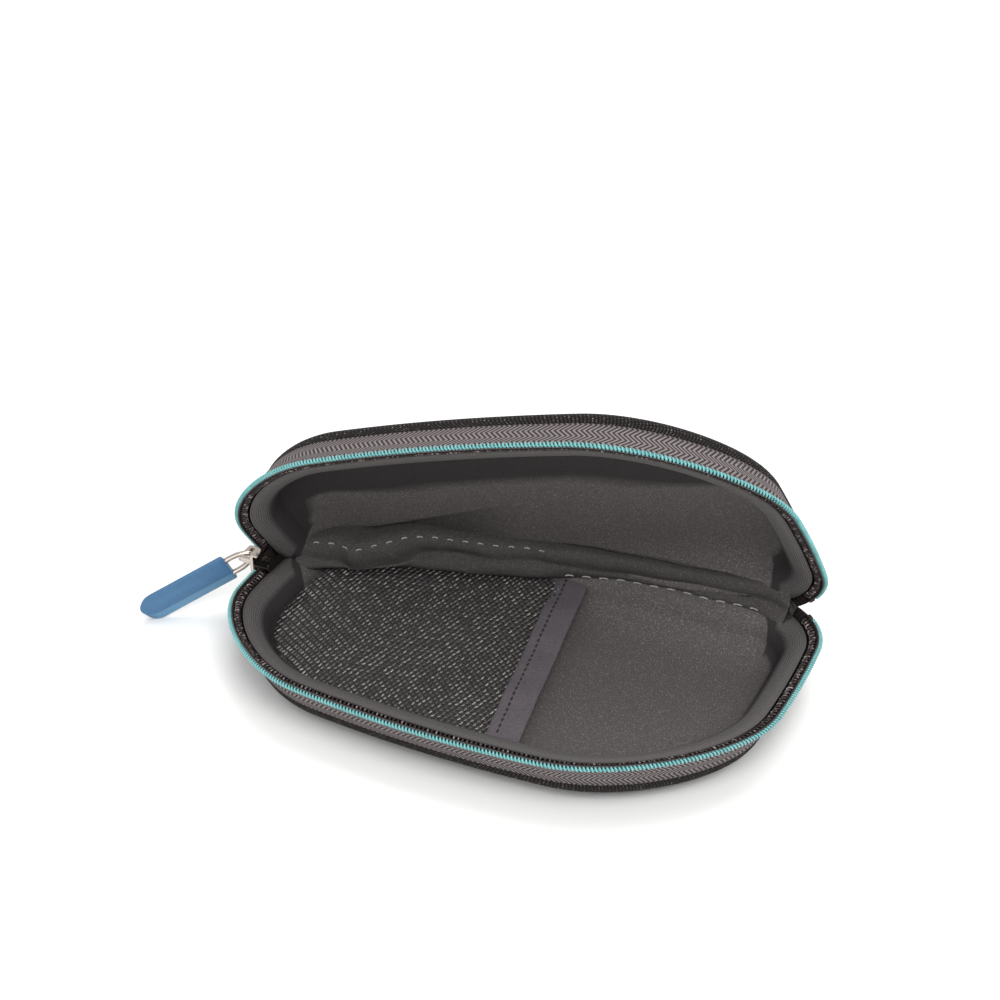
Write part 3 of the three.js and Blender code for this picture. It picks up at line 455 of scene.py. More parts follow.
def lining_material():
    """Brushed knit: fine light fibres by noise over charcoal.

    The flat height is the length from the rim, so the lip is pale, the wall painted dark as shade with
    thin lines that run with the rim, and the floor full of light specks."""
    mat, n = material("lining_knit", (0.04, 0.04, 0.041), 0.95, specular=0.25)
    rim = n.flat()["Y"]
    place = n.add("ShaderNodeTexCoord").outputs["Object"]
    grain = n.add("ShaderNodeTexVoronoi", {"Vector": place, "Scale": 2900.0}).outputs
    tuft = n.add("ShaderNodeTexWhiteNoise", {"Vector": grain["Position"]}, noise_dimensions="3D")
    near = n.span(grain["Distance"], 0.15, 0.5, 1.0, 0.0)
    speck = n.math("MULTIPLY", n.math("POWER", tuft.outputs["Value"], 4.0), near)
    fine, broad = n.noise(2600.0, 2.0, 0.7), n.noise(70.0, 3.0)
    line = n.math("SINE", n.math("MULTIPLY", rim, 2 * np.pi / RIB_PITCH))
    ribs = n.math("MULTIPLY", line, n.span(rim, *RIB_FADE, 1.0, 0.0))
    ribbed = n.math("MULTIPLY_ADD", ribs, RIB_SHARE, fine)
    ground = n.mix(fine, (0.025, 0.0225, 0.022), (0.165, 0.149, 0.146))
    floor_tone = n.mix(speck, ground, (0.33, 0.315, 0.31))
    # The wall's tone is painted shade: darker where the wall turns down away from the light; its lines are
    # the knit's ribs.
    shaded_wall_tone = n.mix(ribbed, (0.014, 0.0125, 0.0125), (0.052, 0.047, 0.047))
    lip_tone = n.mix(ribbed, (0.045, 0.041, 0.041), (0.13, 0.12, 0.12))
    below_lip = n.mix(n.span(rim, *FLOOR_START), shaded_wall_tone, floor_tone)
    n.finish("Base Color", n.mix(n.span(rim, *LIP_END, 1.0, 0.0), below_lip, lip_tone))
    tufted = n.math("MULTIPLY_ADD", broad, 1.5, fine)
    n.relief(n.math("MULTIPLY_ADD", ribs, RIB_SHARE, tufted), 0.35, 0.0003)
    return mat


def lining_line(lift=0.0):
    """The lining's section: from the lip by the tape, over a small round, down the wall to the floor."""
    lip = np.array([[4.1, 2.2], [6.0, 2.4], [7.8, 2.9], [8.9, 3.7], [9.7, 5.1]])
    way = np.array([[0.05, -1.0], [0.15, -0.98], [0.4, -0.9], [0.8, -0.6], [0.95, -0.3]])
    return np.vstack([lip + lift * way, moved(PRESSED, lift)])


def length_flat(below, above, lid):
    """Flat places of a lining: the length along the outline, and the section's length from its rim.

    Behind the hinge line, where there is no wall, that length is raised by a smooth step. Along the lid's
    front it is held by a share, a low power of how far the outline faces the front, so the wall's painted
    shade spreads over the lid's floor there."""
    # Painted shade: along the lid's front the dark wall tone is carried onto the floor.
    front_shade_share = lid * unit(np.gradient(outline(0), axis=0))[:, 0].clip(0, 1) ** HELD_POWER
    raised = BACK_RISE * smooth((behind(RIM) / BACK_REACH).clip(0, 1))
    out = []
    for length in (*walked(below)[::-1], *walked(above)):
        held = length + front_shade_share * (min(length, HELD_LENGTH) - length)
        height = held + raised * min(length / BACK_REACH, 1)
        out.append(np.column_stack([walked(outline(0)), height]))
    return np.stack(out)


lining_knit = lining_material()
BELOW, ABOVE = lining_line(), lining_line(LINING)
for half, side in HALVES:
    flat = length_flat(BELOW, ABOVE, side > 0)
    lining = piece(f"{half}_knit", shell(BELOW, ABOVE, side), lining_knit, flat)
    if side > 0:
        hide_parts("lid_lining", "corner_lining")
        fold_with_lid(lining)
    else:
        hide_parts("base_lining")
        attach(lining, "base")

# Hinge facing.
# One strip of the same knit covers the fold inside: it is sewn with long pale stitches to the base's
# wall and to the lid's, and bends along a crease between them. At the parked slider it bunches up.

# The strip's lines from the hinge's right end to the parked slider, as the case stands open: the row sewn
# to the base, the crease, and the row sewn to the lid.
BASE_ROW = [
    (60.3, 32.6, 14.6), (52.5, 36, 15.9), (38.5, 36, 15.9), (26, 35.8, 15.9), (14, 34.6, 15.6),
    (3, 32.4, 15.2), (-7, 28.6, 14.6), (-18, 25.4, 13.9), (-28, 22.6, 13.6), (-38, 20.4, 13.4),
    (-46, 17.6, 13.4), (-53, 13.7, 13.4), (-59, 10.4, 13.6), (-67, 5.0, 14.4),
]
CREASE = [
    (62.6, 35.7, 18), (54, 37.6, 18.5), (38.5, 36.4, 18.4), (26, 35, 18.4), (14, 33.3, 18.3),
    (2, 30.4, 18.5), (-8, 28.4, 18.8), (-19, 24.6, 18.6), (-29, 23.6, 18.2), (-37, 21.6, 17.6),
    (-45, 16.5, 15), (-53, 11, 14.2), (-60, 9.5, 15.5), (-70.5, 4.5, 17.5),
]
LID_ROW = [
    (60.5, 38, 22.5), (52.5, 37.9, 23), (37, 36, 22.6), (25, 34.4, 22.8), (12.5, 32.3, 23.2),
    (-1, 29.4, 23.4), (-11, 28, 23.3), (-22, 24.6, 23.6), (-32, 22.6, 23.8), (-41, 19.6, 23.8),
    (-47.5, 14.6, 22.8), (-53.5, 10.6, 21.8), (-60.5, 10.6, 22), (-70, 7, 21),
]
FACING_LONG, FACING_WIDE = 180, 25
HALF_KNIT, RIPPLE, BUNCH, BUNCH_START = 0.3, 0.18, 0.3, 0.6
FACING_LENGTH, FACING_TONE = 150, 13.3


def spline(points, count):
    """Catmull-Rom curve through points along the first axis, at evenly spaced parameters.

    Between neighbours p = a + b*t + c*t*t + d*t*t*t."""
    padded = np.concatenate([2 * points[:1] - points[1:2], points, 2 * points[-1:] - points[-2:-1]])
    u = np.linspace(0, len(points) - 1, count)
    k = np.minimum(u.astype(int), len(points) - 2)
    t = (u - k).reshape(-1, *[1] * (points.ndim - 1))
    p0, p1, p2, p3 = (padded[k + i] for i in range(4))
    square, cube = 2 * p0 - 5 * p1 + 4 * p2 - p3, 3 * p1 - p0 - 3 * p2 + p3
    return 0.5 * (2 * p1 + (p2 - p0) * t + square * t ** 2 + cube * t ** 3)


def facing_sheet(lift):
    """The strip's points at a height over its own middle.

    Seven lines, from the edge turned under on the base to the edge turned under on the lid, are joined
    by splines both ways. Fine sine ripples run along it, and deeper ones where it bunches."""
    low, fold, high = (np.array(row, float) for row in (BASE_ROW, CREASE, LID_ROW))
    spot = np.arange(len(low))
    under = np.interp(spot, [0, 4, 7, 10, 12, 13], [1.6, 2.4, 5.0, 8.5, 8.5, 3.5])[:, None]
    swell = np.interp(spot, [0, 6, 10, 13], [0.5, 0.6, 1.6, 0.4])[:, None] * [[0, -1.0, 0.3]]
    bowed = np.interp(spot, [0, 3], [0, 0.6])[:, None]
    way = np.array([[0.15, 1.0, 0.0]])
    lines = np.stack([
        low + under * way * 0.5 - [0, 0, 1.8],
        low,
        (low + fold) / 2 + 0.6 * swell,
        fold + way * bowed,
        (fold + high) / 2 + swell,
        high,
        high + under * (way + [[0, 0, 0.2]]),
    ])
    grid = spline(spline(lines, FACING_WIDE).transpose(1, 0, 2), FACING_LONG)
    run = np.linspace(0, 1, FACING_LONG)[:, None]
    middle = np.sin(np.linspace(0, np.pi, FACING_WIDE))
    ripple = RIPPLE * np.sin(run * 61 + grid[..., 2] * 0.5)
    grid[..., 1] += ripple + BUNCH * (run > BUNCH_START) * np.sin((run - BUNCH_START) * 70) * middle
    normal = unit(np.cross(np.gradient(grid, axis=0), np.gradient(grid, axis=1)))
    return grid - lift * normal * np.sign(normal[..., 1].mean())


# The strip's flat height is the same all over, where the lining's material is between wall and floor.
facing_grid = np.concatenate([facing_sheet(-HALF_KNIT), facing_sheet(HALF_KNIT)[:, ::-1]], 1)
facing_run = np.linspace(0, FACING_LENGTH, FACING_LONG)
facing_height = np.full(2 * FACING_WIDE, FACING_TONE)
facing_flat = np.stack(np.meshgrid(facing_run, facing_height, indexing="ij"), -1)
facing = piece("hinge_facing", facing_grid, lining_knit, facing_flat)
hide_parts("base_hinge_facing", "lid_hinge_facing")
fold_with_lid(facing)


def mottled(name, roughness, colour, dark, light, scale, detail=2.0, specular=0.5, relief=0.0):
    """A material whose tone wanders by noise between a dark and a light one, with a relief from it."""
    mat, n = material(name, colour, roughness, specular=specular)
    grain = n.noise(scale, detail)
    n.finish("Base Color", n.mix(grain, dark, light))
    if relief:
        n.relief(grain, relief, 0.0002)
    return mat


def stitches(line, pitch, dash, dip=0.12):
    """Separate stitches along a line of points in mm.

    Each is a short length of it with 5 points, whose ends dip into the cloth."""
    run = walked(line)
    starts = np.arange(pitch / 2, run[-1] - dash, pitch)
    s = starts[:, None] + dash * np.linspace(0, 1, 5)[None, :]
    points = np.stack([np.interp(s, run, line[:, k]) for k in range(3)], -1)
    points[..., 2] -= dip * np.array([1.6, 0.2, 0, 0.2, 1.6])
    return list(points)


def tube(line, radius, sides):
    """A round tube along a line of points.

    Rings stand square to the line, and each starts square to one fixed slanted direction."""
    way = unit(np.gradient(line, axis=0))
    first = unit(np.cross(way, [0.31, 0.17, 0.93]))
    second = np.cross(way, first)
    turn = np.linspace(0, 2 * np.pi, sides, endpoint=False)[None, :, None]
    return line[:, None] + radius * (first[:, None] * np.cos(turn) + second[:, None] * np.sin(turn))


def many_tubes(name, lines, radius, look, sides=5, flats=None):
    """Several tubes as one mesh; flats gives each tube's own flat places along its line."""
    points, faces, start = [], [], 0
    for line in lines:
        ends = np.stack([np.arange(sides)[::-1], (len(line) - 1) * sides + np.arange(sides)])
        outwards = quads_of(len(line), sides)[:, [0, 3, 2, 1]]
        points.append(tube(line, radius, sides).reshape(-1, 3))
        faces += (outwards + start).tolist() + (ends + start).tolist()
        start += len(line) * sides
    flat = None if flats is None else np.repeat(np.vstack(flats), sides, axis=0)
    return meshed(name, np.vstack(points), faces, look, flat)


thread = mottled("stitch_thread", 0.7, (0.36, 0.36, 0.36), (0.12, 0.12, 0.12), (0.55, 0.55, 0.54), 1800.0)
# Long stitches show on the base's side at the right, and shorter ones on the lid's side at the left.
over = facing_sheet(0.42)
rows = stitches(over[10:76, 5], 4.7, 2.3) + stitches(over[72:178, 19], 4.2, 1.5)
seam = many_tubes("facing_stitches", rows, 0.2, thread)
fold_with_lid(seam)

# Zip tapes.
# Woven polyester tape sewn to the dome's edge: a broad herringbone stretch outside, then a smooth strip
# and the dark sewing that holds the coil at its edge.
TWILL_ROW, TWILL_PITCH = 2.7, 1.4
SEEN_IN = 100.0
TAPE_ENDS = (-10.0, 13.0)


def tape_material():
    """Herringbone twill: stripes slant one way in one row and the other way in the next.

    Their phase folds with the distance across the tape. The side that looks in, whose flat height is
    over half of SEEN_IN, and the edge under the coil are dark."""
    mat, n = material("tape_twill", (0.13, 0.115, 0.12), 0.8, specular=0.25)
    flat = n.flat()
    along, across = flat["X"], flat["Y"]
    fold = n.math("PINGPONG", n.math("ADD", across, 0.4), TWILL_ROW)
    phase = n.math("ADD", n.math("MULTIPLY", along, 1 / TWILL_PITCH), n.math("MULTIPLY", fold, 0.6))
    stripe = n.math("SINE", n.math("MULTIPLY", phase, 2 * np.pi))
    thread_phase = n.math("SUBTRACT", n.math("MULTIPLY", along, 1.6), n.math("MULTIPLY", fold, 2.9))
    thread_wave = n.math("SINE", n.math("MULTIPLY", thread_phase, 2 * np.pi))
    height = n.math("MULTIPLY_ADD", thread_wave, 0.3, stripe)
    twill = n.mix(n.span(height, -0.9, 0.9), (0.012, 0.009, 0.009), (0.27, 0.232, 0.232))
    edge = n.span(across, 0.9, 1.2, 1.0, 0.0)
    inside_face = n.math("GREATER_THAN", across, SEEN_IN / 2)
    n.finish("Base Color", n.mix(n.math("MAXIMUM", edge, inside_face), twill, (0.022, 0.015, 0.015)))
    n.relief(height, 0.7, 0.0002)
    return mat


def in_order(keep):
    """Numbers of the outline's stations that are kept, walked from the first one after a gap."""
    first = int(np.argmax(keep & ~np.roll(keep, 1)))
    return (first + np.arange(int(keep.sum()))) % STATIONS


def stations_ahead(gap, left_reach):
    """Stations from left_reach on the left side round the front to a gap ahead of the hinge's right end.

    A negative gap runs on behind the hinge line."""
    left = (RIM[:, 0] < -HALF_LENGTH / 2) & (np.abs(RIM[:, 1]) < 20)
    return in_order(np.where(left, RIM[:, 1] < left_reach, behind(RIM) < -gap))


def strip(name, section, side, order, look):
    """A closed section carried along the outline's stations, with both ends closed.

    SEEN_IN is added to the flat height of the section's second half, the side that looks in."""
    grid = np.transpose(rings(section, side)[:, order], (1, 0, 2))
    across = walked(section)[:len(section) // 2]
    across = np.concatenate([across, across[::-1] + SEEN_IN])
    flat = np.stack(np.meshgrid(walked(outline(0)[order]), across, indexing="ij"), -1)
    return piece(name, opened(grid) if side > 0 else grid, look, flat)


tape_twill = tape_material()
tape_out = np.array([
    [0.85, 0.65], [1.1, 1.65], [1.65, 2.8], [2.5, 3.9], [3.3, 5.1], [4.2, 6.5], [5.1, 8.1], [6.2, 10.1],
])
tape_section = np.vstack([tape_out, (tape_out + [0.55, -0.25])[::-1]])
for half, side in HALVES:
    tape = strip(f"{half}_tape", tape_section, side, stations_ahead(*TAPE_ENDS), tape_twill)
    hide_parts(f"{half}_zip_tape")
    if side > 0:
        fold_with_lid(tape)
    else:
        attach(tape, "base")

# Zip coils.
# Each is one nylon filament wound into flat turns and dyed teal. Dark sewing thread, wound over the
# coil's inner side, holds it to the edge of its tape; its light flecks are painted glints.
COIL_START, COIL_SLANT, TURN_POINTS = -4.6, (3, 1.2), 10
COIL_SPOT, COIL_SIZE = (0.5, 1.15), (0.95, 0.38, 0.42, 0.27)
SEWING_SPOT, SEWING_SIZE = (2.6, 1.35), (1.2, 0.75, 0.4, 0.22)


def wound(points, normal, pitch, front_shade_share, high):
    """Centre line of a filament wound round a path in mm.

    The path is walked by length, and the line turns on an ellipse about it once per pitch."""
    run = walked(points)
    turns = int(run[-1] / pitch)
    s = np.linspace(0, turns * pitch, turns * TURN_POINTS + 1)
    centre = np.column_stack([np.interp(s, run, points[:, k]) for k in range(3)])
    out = np.column_stack([np.interp(s, run, normal[:, k]) for k in range(3)])
    tangent = unit(np.gradient(centre, axis=0))
    out = unit(out - tangent * np.einsum("ij,ij->i", out, tangent)[:, None])
    rise = np.cross(tangent, out)
    turn = 2 * np.pi * s[:, None] / pitch
    return centre + out * front_shade_share * np.cos(turn) + rise * high * np.sin(turn)


def coil(name, side, order, spot, size, look):
    """A winding round the outline at an inset and depth; size is pitch, half width, half height and wire."""
    path = rings([spot], side)[0][order]
    inner = rings([np.add(spot, COIL_SLANT)], side)[0][order]
    if side > 0:
        path, inner = swung(path, 1.0), swung(inner, 1.0)
    return many_tubes(name, [wound(path, path - inner, *size[:3])], size[3], look, sides=6)


teal = mottled("teal_nylon", 0.35, (0.11, 0.46, 0.47), (0.075, 0.28, 0.29), (0.19, 0.48, 0.48), 300.0,
               specular=0.7)
sewing, n = material("coil_sewing", (0.03, 0.02, 0.02), 0.6)
# Painted glints: light flecks by noise on the dark sewing thread.
painted_glints = n.span(n.noise(900.0, 1.0), 0.52, 0.68)
n.finish("Base Color", n.mix(painted_glints, (0.03, 0.02, 0.02), (0.3, 0.25, 0.25)))
for half, side in HALVES:
    turns = coil(f"{half}_coil", side, stations_ahead(3.2, COIL_START), COIL_SPOT, COIL_SIZE, teal)
    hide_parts(f"{half}_zip_coil")
    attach(turns, half)
    order = stations_ahead(1.0, COIL_START)
    stitched = coil(f"{half}_coil_sewing", side, order, SEWING_SPOT, SEWING_SIZE, sewing)
    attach(stitched, half)

# Joined chain.
# Between the slider and the bottom stop the two coils stay meshed: each turn of one lies between two of
# the other.
CHAIN_SPAN, CHAIN_POINTS, CHAIN_PITCH = (4.9, 8.9), 24, 1.45
chain_y = np.linspace(*CHAIN_SPAN, CHAIN_POINTS)
chain_out = np.tile([-1.0, 0, 0], (CHAIN_POINTS, 1))
chain_lines = []
for side, late in ((-1, 0.0), (1, 0.288)):
    level = np.full(CHAIN_POINTS, DEPTH + side * 0.75)
    path = np.column_stack([np.full(CHAIN_POINTS, -HALF_LENGTH + 0.9), chain_y + late, level])
    chain_lines.append(wound(path, chain_out, CHAIN_PITCH, 0.5, 0.6))
chain = many_tubes("joined_chain", chain_lines, 0.28, teal, sides=6)
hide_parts("closed_chain")
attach(chain, "base")

# Spine.
# A folded strip of the same nylon over soft filling joins the halves round the back and one corner, and
# bulges a little as a rolled edge. It bends where the lid's fabric folds.
spine_half = np.array([
    [7.0, 9.8], [5.8, 10.5], [3.8, 10.0], [1.9, 8.4], [0.3, 6.1], [-0.9, 3.5], [-1.45, 1.6],
])
spine_outer = np.vstack([spine_half * [1, -1], [[-1.6, 0.0]], spine_half[::-1]])
SPINE_REACH, SPINE_START, SPINE_CLEAR, FILLING_IN = 12.0, 0.8, 0.3, 2.9


def stations_behind(left_reach):
    """Stations behind the hinge line, from its right end round the back to the left side."""
    keep = behind(RIM) > SPINE_START
    return in_order(keep & ((RIM[:, 1] > left_reach) | (RIM[:, 0] > 0)))


for name, outer_move, inner_move, node, look, label in (
    ("spine_cover", 0.0, FABRIC, "spine_fabric", panel_nylon, "panel"),
    ("spine_filling", FOAM_OUT, FILLING_IN, "spine_foam", foam_mat, "foam"),
):
    section = np.vstack([moved(spine_outer, outer_move), moved(spine_outer, inner_move)[::-1]])
    order = stations_behind(SPINE_REACH)
    grid = np.transpose(rings(section, 1)[:, order], (1, 0, 2))
    run = walked(outline(0)[order])
    hub = rings([(2.0, 0)], 1)[0][order][:, None]
    grid = hub + (grid - hub) * np.interp(run, [0, 5, 16], [0.1, 0.45, 1.0])[:, None, None]
    grid[..., :2] -= (SPINE_CLEAR - behind(grid)).clip(0)[..., None] * AHEAD
    length = walked(spine_outer)
    flat = np.stack(np.meshgrid(run, np.concatenate([length, length[::-1]]), indexing="ij"), -1)
    spine = piece(name, opened(grid), look, flat)
    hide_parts(node)
    fold_with_lid(spine)

# Pocket net.
# Black knitted net, cut to the half's floor, sewn in round its edge and to the hem; one slant of its strands
# has painted highlights.
# It is drawn as its strands: each row zigzags and touches the next, which leaves diamond gaps.
NET_BACK, NET_SPAN = 14.0, 64.0
NET_TOP, NET_BOTTOM, NET_LIFT = 6.2, 9.0, 0.4
HEM_BACK, HEM_FRONT, HEM_HALF = 79.0, 73.0, 4.5
NET_ROW, NET_PERIOD, NET_WIRE = 1.3, 1.7, 0.2
NET_LONG, NET_ACROSS, NET_EDGE = (-4, 92), (-52, 64), (12.3, 14.5)
GATHER, GATHER_REACH = 0.0135, 34


def net_height(points):
    """Height of the net's plane in mm, which falls from the back to the front."""
    return DEPTH - (NET_TOP + (NET_BACK - behind(points)) * (NET_BOTTOM - NET_TOP) / NET_SPAN)


def along_ahead(a, h):
    """Plan points from distances along the hinge line and ahead of it."""
    return np.array([-HALF_LENGTH, 0.0]) + a[..., None] * ALONG + h[..., None] * AHEAD


def hem_along(h):
    """Where the hem begins along the hinge line, within 0.5 mm, at a distance ahead of it."""
    return HEM_BACK + (h + NET_BACK) * (HEM_FRONT - HEM_BACK) / NET_SPAN


def inside(points, ring):
    """Which plan points lie inside a closed ring, by counting the edges that a ray to the right crosses."""
    a, b = ring, np.roll(ring, -1, axis=0)
    px, py = points[..., 0, None], points[..., 1, None]
    span = (a[:, 1] > py) != (b[:, 1] > py)
    rise = np.where(b[:, 1] == a[:, 1], 1e-9, b[:, 1] - a[:, 1])
    cross = a[:, 0] + (b[:, 0] - a[:, 0]) * (py - a[:, 1]) / rise
    return (np.sum(span & (px < cross), axis=-1) % 2) == 1


def net_material():
    """Dark yarn whose flat length counts periods: half of each period can carry a painted highlight, by a
    random share.
    """
    mat, n = material("net_yarn", (0.2, 0.2, 0.2), 0.4)
    flat = n.flat()
    cell = n.add("ShaderNodeCombineXYZ", {"X": n.math("FLOOR", flat["X"]), "Y": flat["Y"]})
    chance = n.add("ShaderNodeTexWhiteNoise", {"Vector": cell.outputs[0]}, noise_dimensions="3D")
    phase = n.math("FRACT", flat["X"])
    # Painted highlight: the rising half of each zigzag is lit, the falling half stays dark.
    rising = n.math("MULTIPLY", n.span(phase, 0.04, 0.16), n.span(phase, 0.42, 0.54, 1.0, 0.0))
    glint_strength = n.math("MULTIPLY_ADD", n.math("POWER", chance.outputs["Value"], 2.0), 0.85, 0.12)
    painted_glint = n.math("MULTIPLY", rising, glint_strength)
    n.finish("Base Color", n.mix(painted_glint, (0.012, 0.0115, 0.0115), (0.5, 0.48, 0.46)))
    return mat


def net_strands():
    """Rows of zigzag strands whose points touch the next row's.

    Towards the gathered left end the rows bend to the front by the distance squared. Each strand is kept
    where it lies inside the pocket's edge. Returns the lines and their flat places, in periods along and
    rows across."""
    lines, flats = [], []
    fine = np.arange(*NET_LONG, NET_PERIOD / 4)
    quarter = np.arange(len(fine))
    bend = GATHER * (GATHER_REACH - fine).clip(0) ** 2
    for k, h in enumerate(np.arange(*NET_ACROSS, NET_ROW)):
        swing = 0.5 * NET_ROW * np.array([-1, 0, 1, 0])[(quarter + 2 * (k % 2)) % 4]
        wave = 0.14 * np.cos(quarter * np.pi / 2) + 0.35 * np.sin(fine / 9.0 + h / 6.0)
        plan = along_ahead(fine, h + swing + bend)
        wall = np.interp(DEPTH - net_height(plan), ABOVE[:, 1], ABOVE[:, 0]) + NET_WIRE
        edge = outline(float(np.median(wall.clip(*NET_EDGE))))
        keep = inside(plan, edge) & (fine < hem_along(h + bend) + 1.5)
        if keep.sum() < 4:
            continue
        first, last = np.argmax(keep), len(keep) - np.argmax(keep[::-1])
        rise = 1.6 * (1 - fine / 16).clip(0, 1) ** 2
        points = np.column_stack([plan, net_height(plan) + NET_LIFT + wave + rise])
        lines.append(points[first:last])
        flats.append(np.column_stack([fine / NET_PERIOD + 0.5 * (k % 2), np.full(len(fine), k)])[first:last])
    return lines, flats


net_lines, net_flats = net_strands()
net = many_tubes("net_strands", net_lines, NET_WIRE, net_material(), flats=net_flats)
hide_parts("pocket_net")
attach(net, "base")

# Pocket hem.
# Grey-mauve elastic band folded over the net's open edge and sewn with one dark dashed seam, which draws
# a groove into it. It runs from the back wall to the front wall.
HEM_HIGH, HEM_MIDDLE, SEAM_ACROSS, SEAM_HIGH = 0.75, 4.0, -1.7, 0.62


def powered(wave, power):
    """A sine or cosine raised to a power with its sign kept; a low power squares a round form."""
    return np.sign(wave) * np.abs(wave) ** power


def hem_wave(h):
    """How far the hem stands off the net's plane, in two sines along it."""
    return NET_LIFT + 0.25 * np.sin(h / 5.0) + 0.12 * np.sin(h / 1.9)


def hem_grid():
    """A flat oval section of 9 by 1.5 mm carried from the back wall to the front wall."""
    h = np.linspace(-15.5, 58.5, 60)[:, None]
    turn = np.linspace(0, 2 * np.pi, 32, endpoint=False)
    across = HEM_HALF * powered(np.cos(turn), 0.35)
    groove = 0.35 * np.exp(-((across - SEAM_ACROSS) / 0.45) ** 2) * (np.sin(turn) > 0)
    high = HEM_HIGH * powered(np.sin(turn), 0.6) - groove
    plan = along_ahead(hem_along(h) + HEM_MIDDLE + across, np.repeat(h, len(turn), 1))
    return np.concatenate([plan, (net_height(plan) + high + hem_wave(h))[..., None]], -1)


hem_mat = mottled("hem_band", 0.9, (0.115, 0.095, 0.108), (0.058, 0.049, 0.056), (0.135, 0.118, 0.129),
                  1500.0, detail=3.0, relief=0.4)
dark_thread = mottled("dark_thread", 0.8, (0.012, 0.01, 0.011), (0.006, 0.005, 0.005), (0.03, 0.026, 0.028),
                      1500.0)
hem = piece("hem_band", hem_grid(), hem_mat)
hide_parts("pocket_hem")
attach(hem, "base")
seam_h = np.linspace(-12.0, 56.0, 300)
seam_plan = along_ahead(hem_along(seam_h) + HEM_MIDDLE + SEAM_ACROSS, seam_h)
seam_line = np.column_stack([seam_plan, net_height(seam_plan) + SEAM_HIGH + hem_wave(seam_h)])
hem_seam = many_tubes("hem_seam", stitches(seam_line, 2.1, 1.35, 0.1), 0.34, dark_thread)
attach(hem_seam, "base")

# Pull.
# A wire loop of nickel-plated steel hangs in the slider's bridge; the tab is moulded in soft blue plastic
# straight onto it, square at the wire and round at the far end.
TAB_NEAR, TAB_FAR, TAB_HALF_WIDE, TAB_HALF_THICK, TAB_CORNER = 7, 29.5, 4.5, 1.5, 0.5
WIRE = 0.75
yaw, droop = np.radians((36.0, 26.5))
PULL_WAY = np.array([-np.cos(yaw) * np.cos(droop), -np.sin(yaw) * np.cos(droop), -np.sin(droop)])
PULL_FACE = np.array([np.sin(yaw), -np.cos(yaw), 0.0])
PULL_AXES = np.stack([PULL_WAY, np.cross(PULL_FACE, PULL_WAY), PULL_FACE])
PULL_PIVOT = np.array([-79.65, 0.0, DEPTH])


def blue_plastic():
    """Soft blue plastic with a fine skin; its flat length says how much of the lower edge is painted paler,
    as lit.
    """
    mat, n = material("pull_blue", (0.05, 0.165, 0.3), 0.5)
    skin = n.noise(900.0, 3.0)
    tone = n.mix(skin, (0.036, 0.11, 0.22), (0.052, 0.15, 0.285))
    # The paler blue is painted light on the lit lower flank.
    n.finish("Base Color", n.mix(n.flat()["X"], tone, (0.085, 0.24, 0.4)))
    n.relief(skin, 0.15, 0.0002)
    return mat


def tab_ring(inset, level):
    """The tab's outline at a level of its thickness.

    A half ellipse at the far end, two straight sides and two small round corners at the wire. The lower
    side slopes inwards to the front face, and the upper side to the back face."""
    slope = [-0.5, TAB_HALF_THICK], [-TAB_HALF_WIDE, -1.2]
    low = np.interp(level, *slope) + inset
    high = -np.interp(-level, *slope) - inset
    middle, half = (low + high) / 2, (high - low) / 2
    turn = np.linspace(-np.pi / 2, np.pi / 2, 41)
    far = np.column_stack([TAB_FAR + (TAB_HALF_WIDE - inset) * np.cos(turn), half * np.sin(turn)])
    turn = np.linspace(0, np.pi / 2, 6)
    near = np.column_stack([1 - np.sin(turn), np.cos(turn) - 1]) * TAB_CORNER + [TAB_NEAR + inset, half]
    ring = np.vstack([far, near, near[::-1] * [1, -1]]) + [0, middle]
    return np.column_stack([ring * [1, -1], np.full(len(ring), level)])


# The tab's section as insets and levels: its edges are rounded, and its middle steps turn the slopes.
tab_edge = [(1.6, 1.5), (0.4, 1.5), (0.1, 1.4), (0, 1.25), (0, 0.7), (0, 0.5), (0, 0.2)]
tab_section = [(inset, -level) for inset, level in tab_edge] + tab_edge[::-1]
tab_rings = np.stack([tab_ring(*spot) for spot in tab_section])
tab_y = tab_rings[..., 1]
side_share = (tab_y - tab_y.mean(1, keepdims=True)) / np.ptp(tab_y, axis=1)[:, None] * 2
# Painted light: the lower flank is painted paler than the face.
lit_flank_share = (side_share * 4 - 2.8).clip(0, 1) * (tab_rings[..., 2] < 1.35)
tab_flat = np.stack([lit_flank_share, tab_rings[..., 2]], -1)
tab = piece("tab", tab_rings @ PULL_AXES + PULL_PIVOT, blue_plastic(), tab_flat)
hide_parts("pull_tab")
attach(tab, "pull")


def metal(name, colour, roughness, scale, smoothest, roughest):
    """Bare metal whose polish wanders by noise between two roughnesses."""
    mat, n = material(name, colour, roughness, metallic=1.0)
    n.finish("Roughness", n.span(n.noise(scale), 0, 1, smoothest, roughest))
    return mat


nickel = metal("nickel", (0.56, 0.5, 0.45), 0.25, 150.0, 0.18, 0.26)
loop_half = [(9.3, 1.9, 0), (6.8, 2.2, 0), (3.8, 2.1, 0), (1.8, 1.5, 0), (0.5, 0.85, 0)]
loop_points = np.array(loop_half + [(0.15, 0, 0)] + [(x, -y, 0) for x, y, _ in loop_half[::-1]])
loop = many_tubes("bail", [spline(loop_points, 90) @ PULL_AXES + PULL_PIVOT], WIRE, nickel, sides=12)
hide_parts("pull_bail")
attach(loop, "pull")

# Slider and stops.
# The slider is a zinc casting with an outer plate, lips that guide the coils, a wedge that parts them, an
# inner wing and the bridge; the stops are small clamps on the coils' ends.
BLOCK_POWER, BLOCK_SIDES, BLOCK_ROWS, BLOCK_TOP = 0.22, 48, 21, 1.52


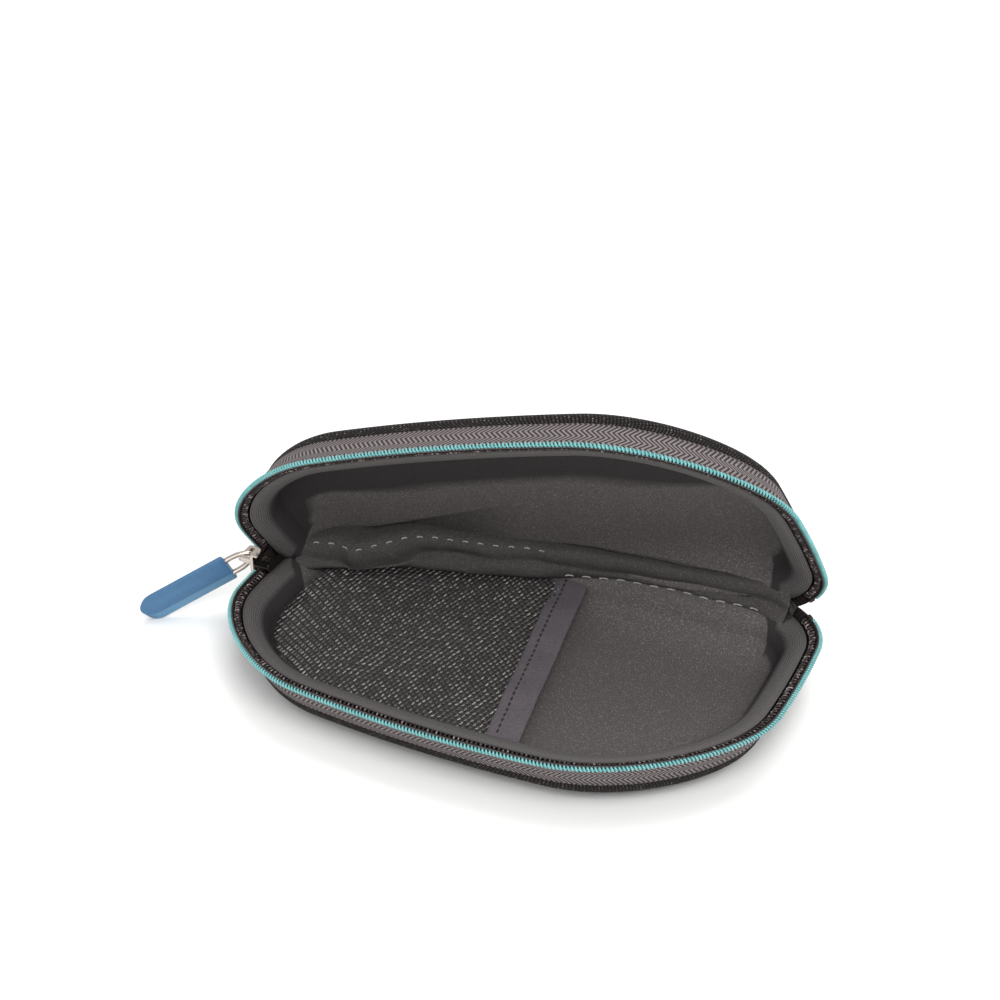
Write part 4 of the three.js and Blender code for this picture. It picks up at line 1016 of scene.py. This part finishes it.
def blocks(name, parts, look):
    """Rounded blocks as one mesh, each from its middle, half sizes and axes.

    A block is a superellipsoid: x = a*c(v)*c(u), y = b*c(v)*s(u) and z = h*s(v), with each sine s and
    cosine c raised to a low power."""
    u = np.linspace(0, 2 * np.pi, BLOCK_SIDES, endpoint=False)
    u, v = np.meshgrid(u, np.linspace(-BLOCK_TOP, BLOCK_TOP, BLOCK_ROWS))
    cu, su, cv, sv = (powered(wave, BLOCK_POWER) for wave in (np.cos(u), np.sin(u), np.cos(v), np.sin(v)))
    form = np.stack([cv * cu, cv * su, sv], -1).reshape(-1, 3)
    ring = np.arange(BLOCK_SIDES)
    ends = np.stack([ring[::-1], len(form) - BLOCK_SIDES + ring])
    points, faces = [], []
    for k, (middle, half, axes) in enumerate(parts):
        points.append((form * half) @ axes + middle)
        start = k * len(form)
        faces += (quads_of(BLOCK_ROWS, BLOCK_SIDES) + start).tolist() + (ends + start).tolist()
    return meshed(name, np.vstack(points), faces, look)


zinc = metal("raw_zinc", (0.06, 0.055, 0.05), 0.5, 700.0, 0.4, 0.7)
straight = np.eye(3)
plate = ((-76.85, 0, DEPTH), (0.6, 4.5, 3.3), straight)
lips = [((-76.1, 0, DEPTH + side * 2.9), (1.3, 4.4, 0.4), straight) for side in (1, -1)]
bridge_legs = [((-79.2, side * 2.6, DEPTH), (2.2, 0.6, 0.75), straight) for side in (1, -1)]
bridge_top = ((-81.35, 0, DEPTH), (0.6, 3.15, 0.75), straight)
slider = blocks("slider", [plate, *lips, *bridge_legs, bridge_top], nickel)
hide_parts("slider_body")
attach(slider, "slider")
wedge = ((-74.6, -3.0, DEPTH), (2.7, 1.5, 0.25), straight)
wing = ((-71.9, 0, DEPTH), (0.35, 4.3, 1.2), straight)
inner_wing = blocks("slider_inner", [wedge, wing], zinc)
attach(inner_wing, "slider")
bottom = blocks("bottom_stop", [((-75.4, 10.4, DEPTH), (1.1, 1.1, 2.7), straight)], nickel)
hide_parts("zip_bottom_stop")
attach(bottom, "base")

# A top stop clamps the coil's right end and points along its last six stations.
for half, side in HALVES:
    order = stations_ahead(1.1, COIL_START)[-1:-7:-1]
    path = rings([(0.9, 1.35)], side)[0][order]
    way = unit(path[5] - path[0])
    axes = np.stack([way, np.cross([0, 0, 1.0], way), [0, 0, 1.0]])
    middle = path[0] + way * 1.1
    if side > 0:
        tips = swung(np.stack([middle, *(middle + axes)]), 1.0)
        middle, axes = tips[0], tips[1:] - tips[0]
    stop = blocks(f"{half}_stop", [(middle, (1.0, 0.8, 0.7), axes)], zinc)
    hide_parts(f"{half}_top_stop")
    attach(stop, half)
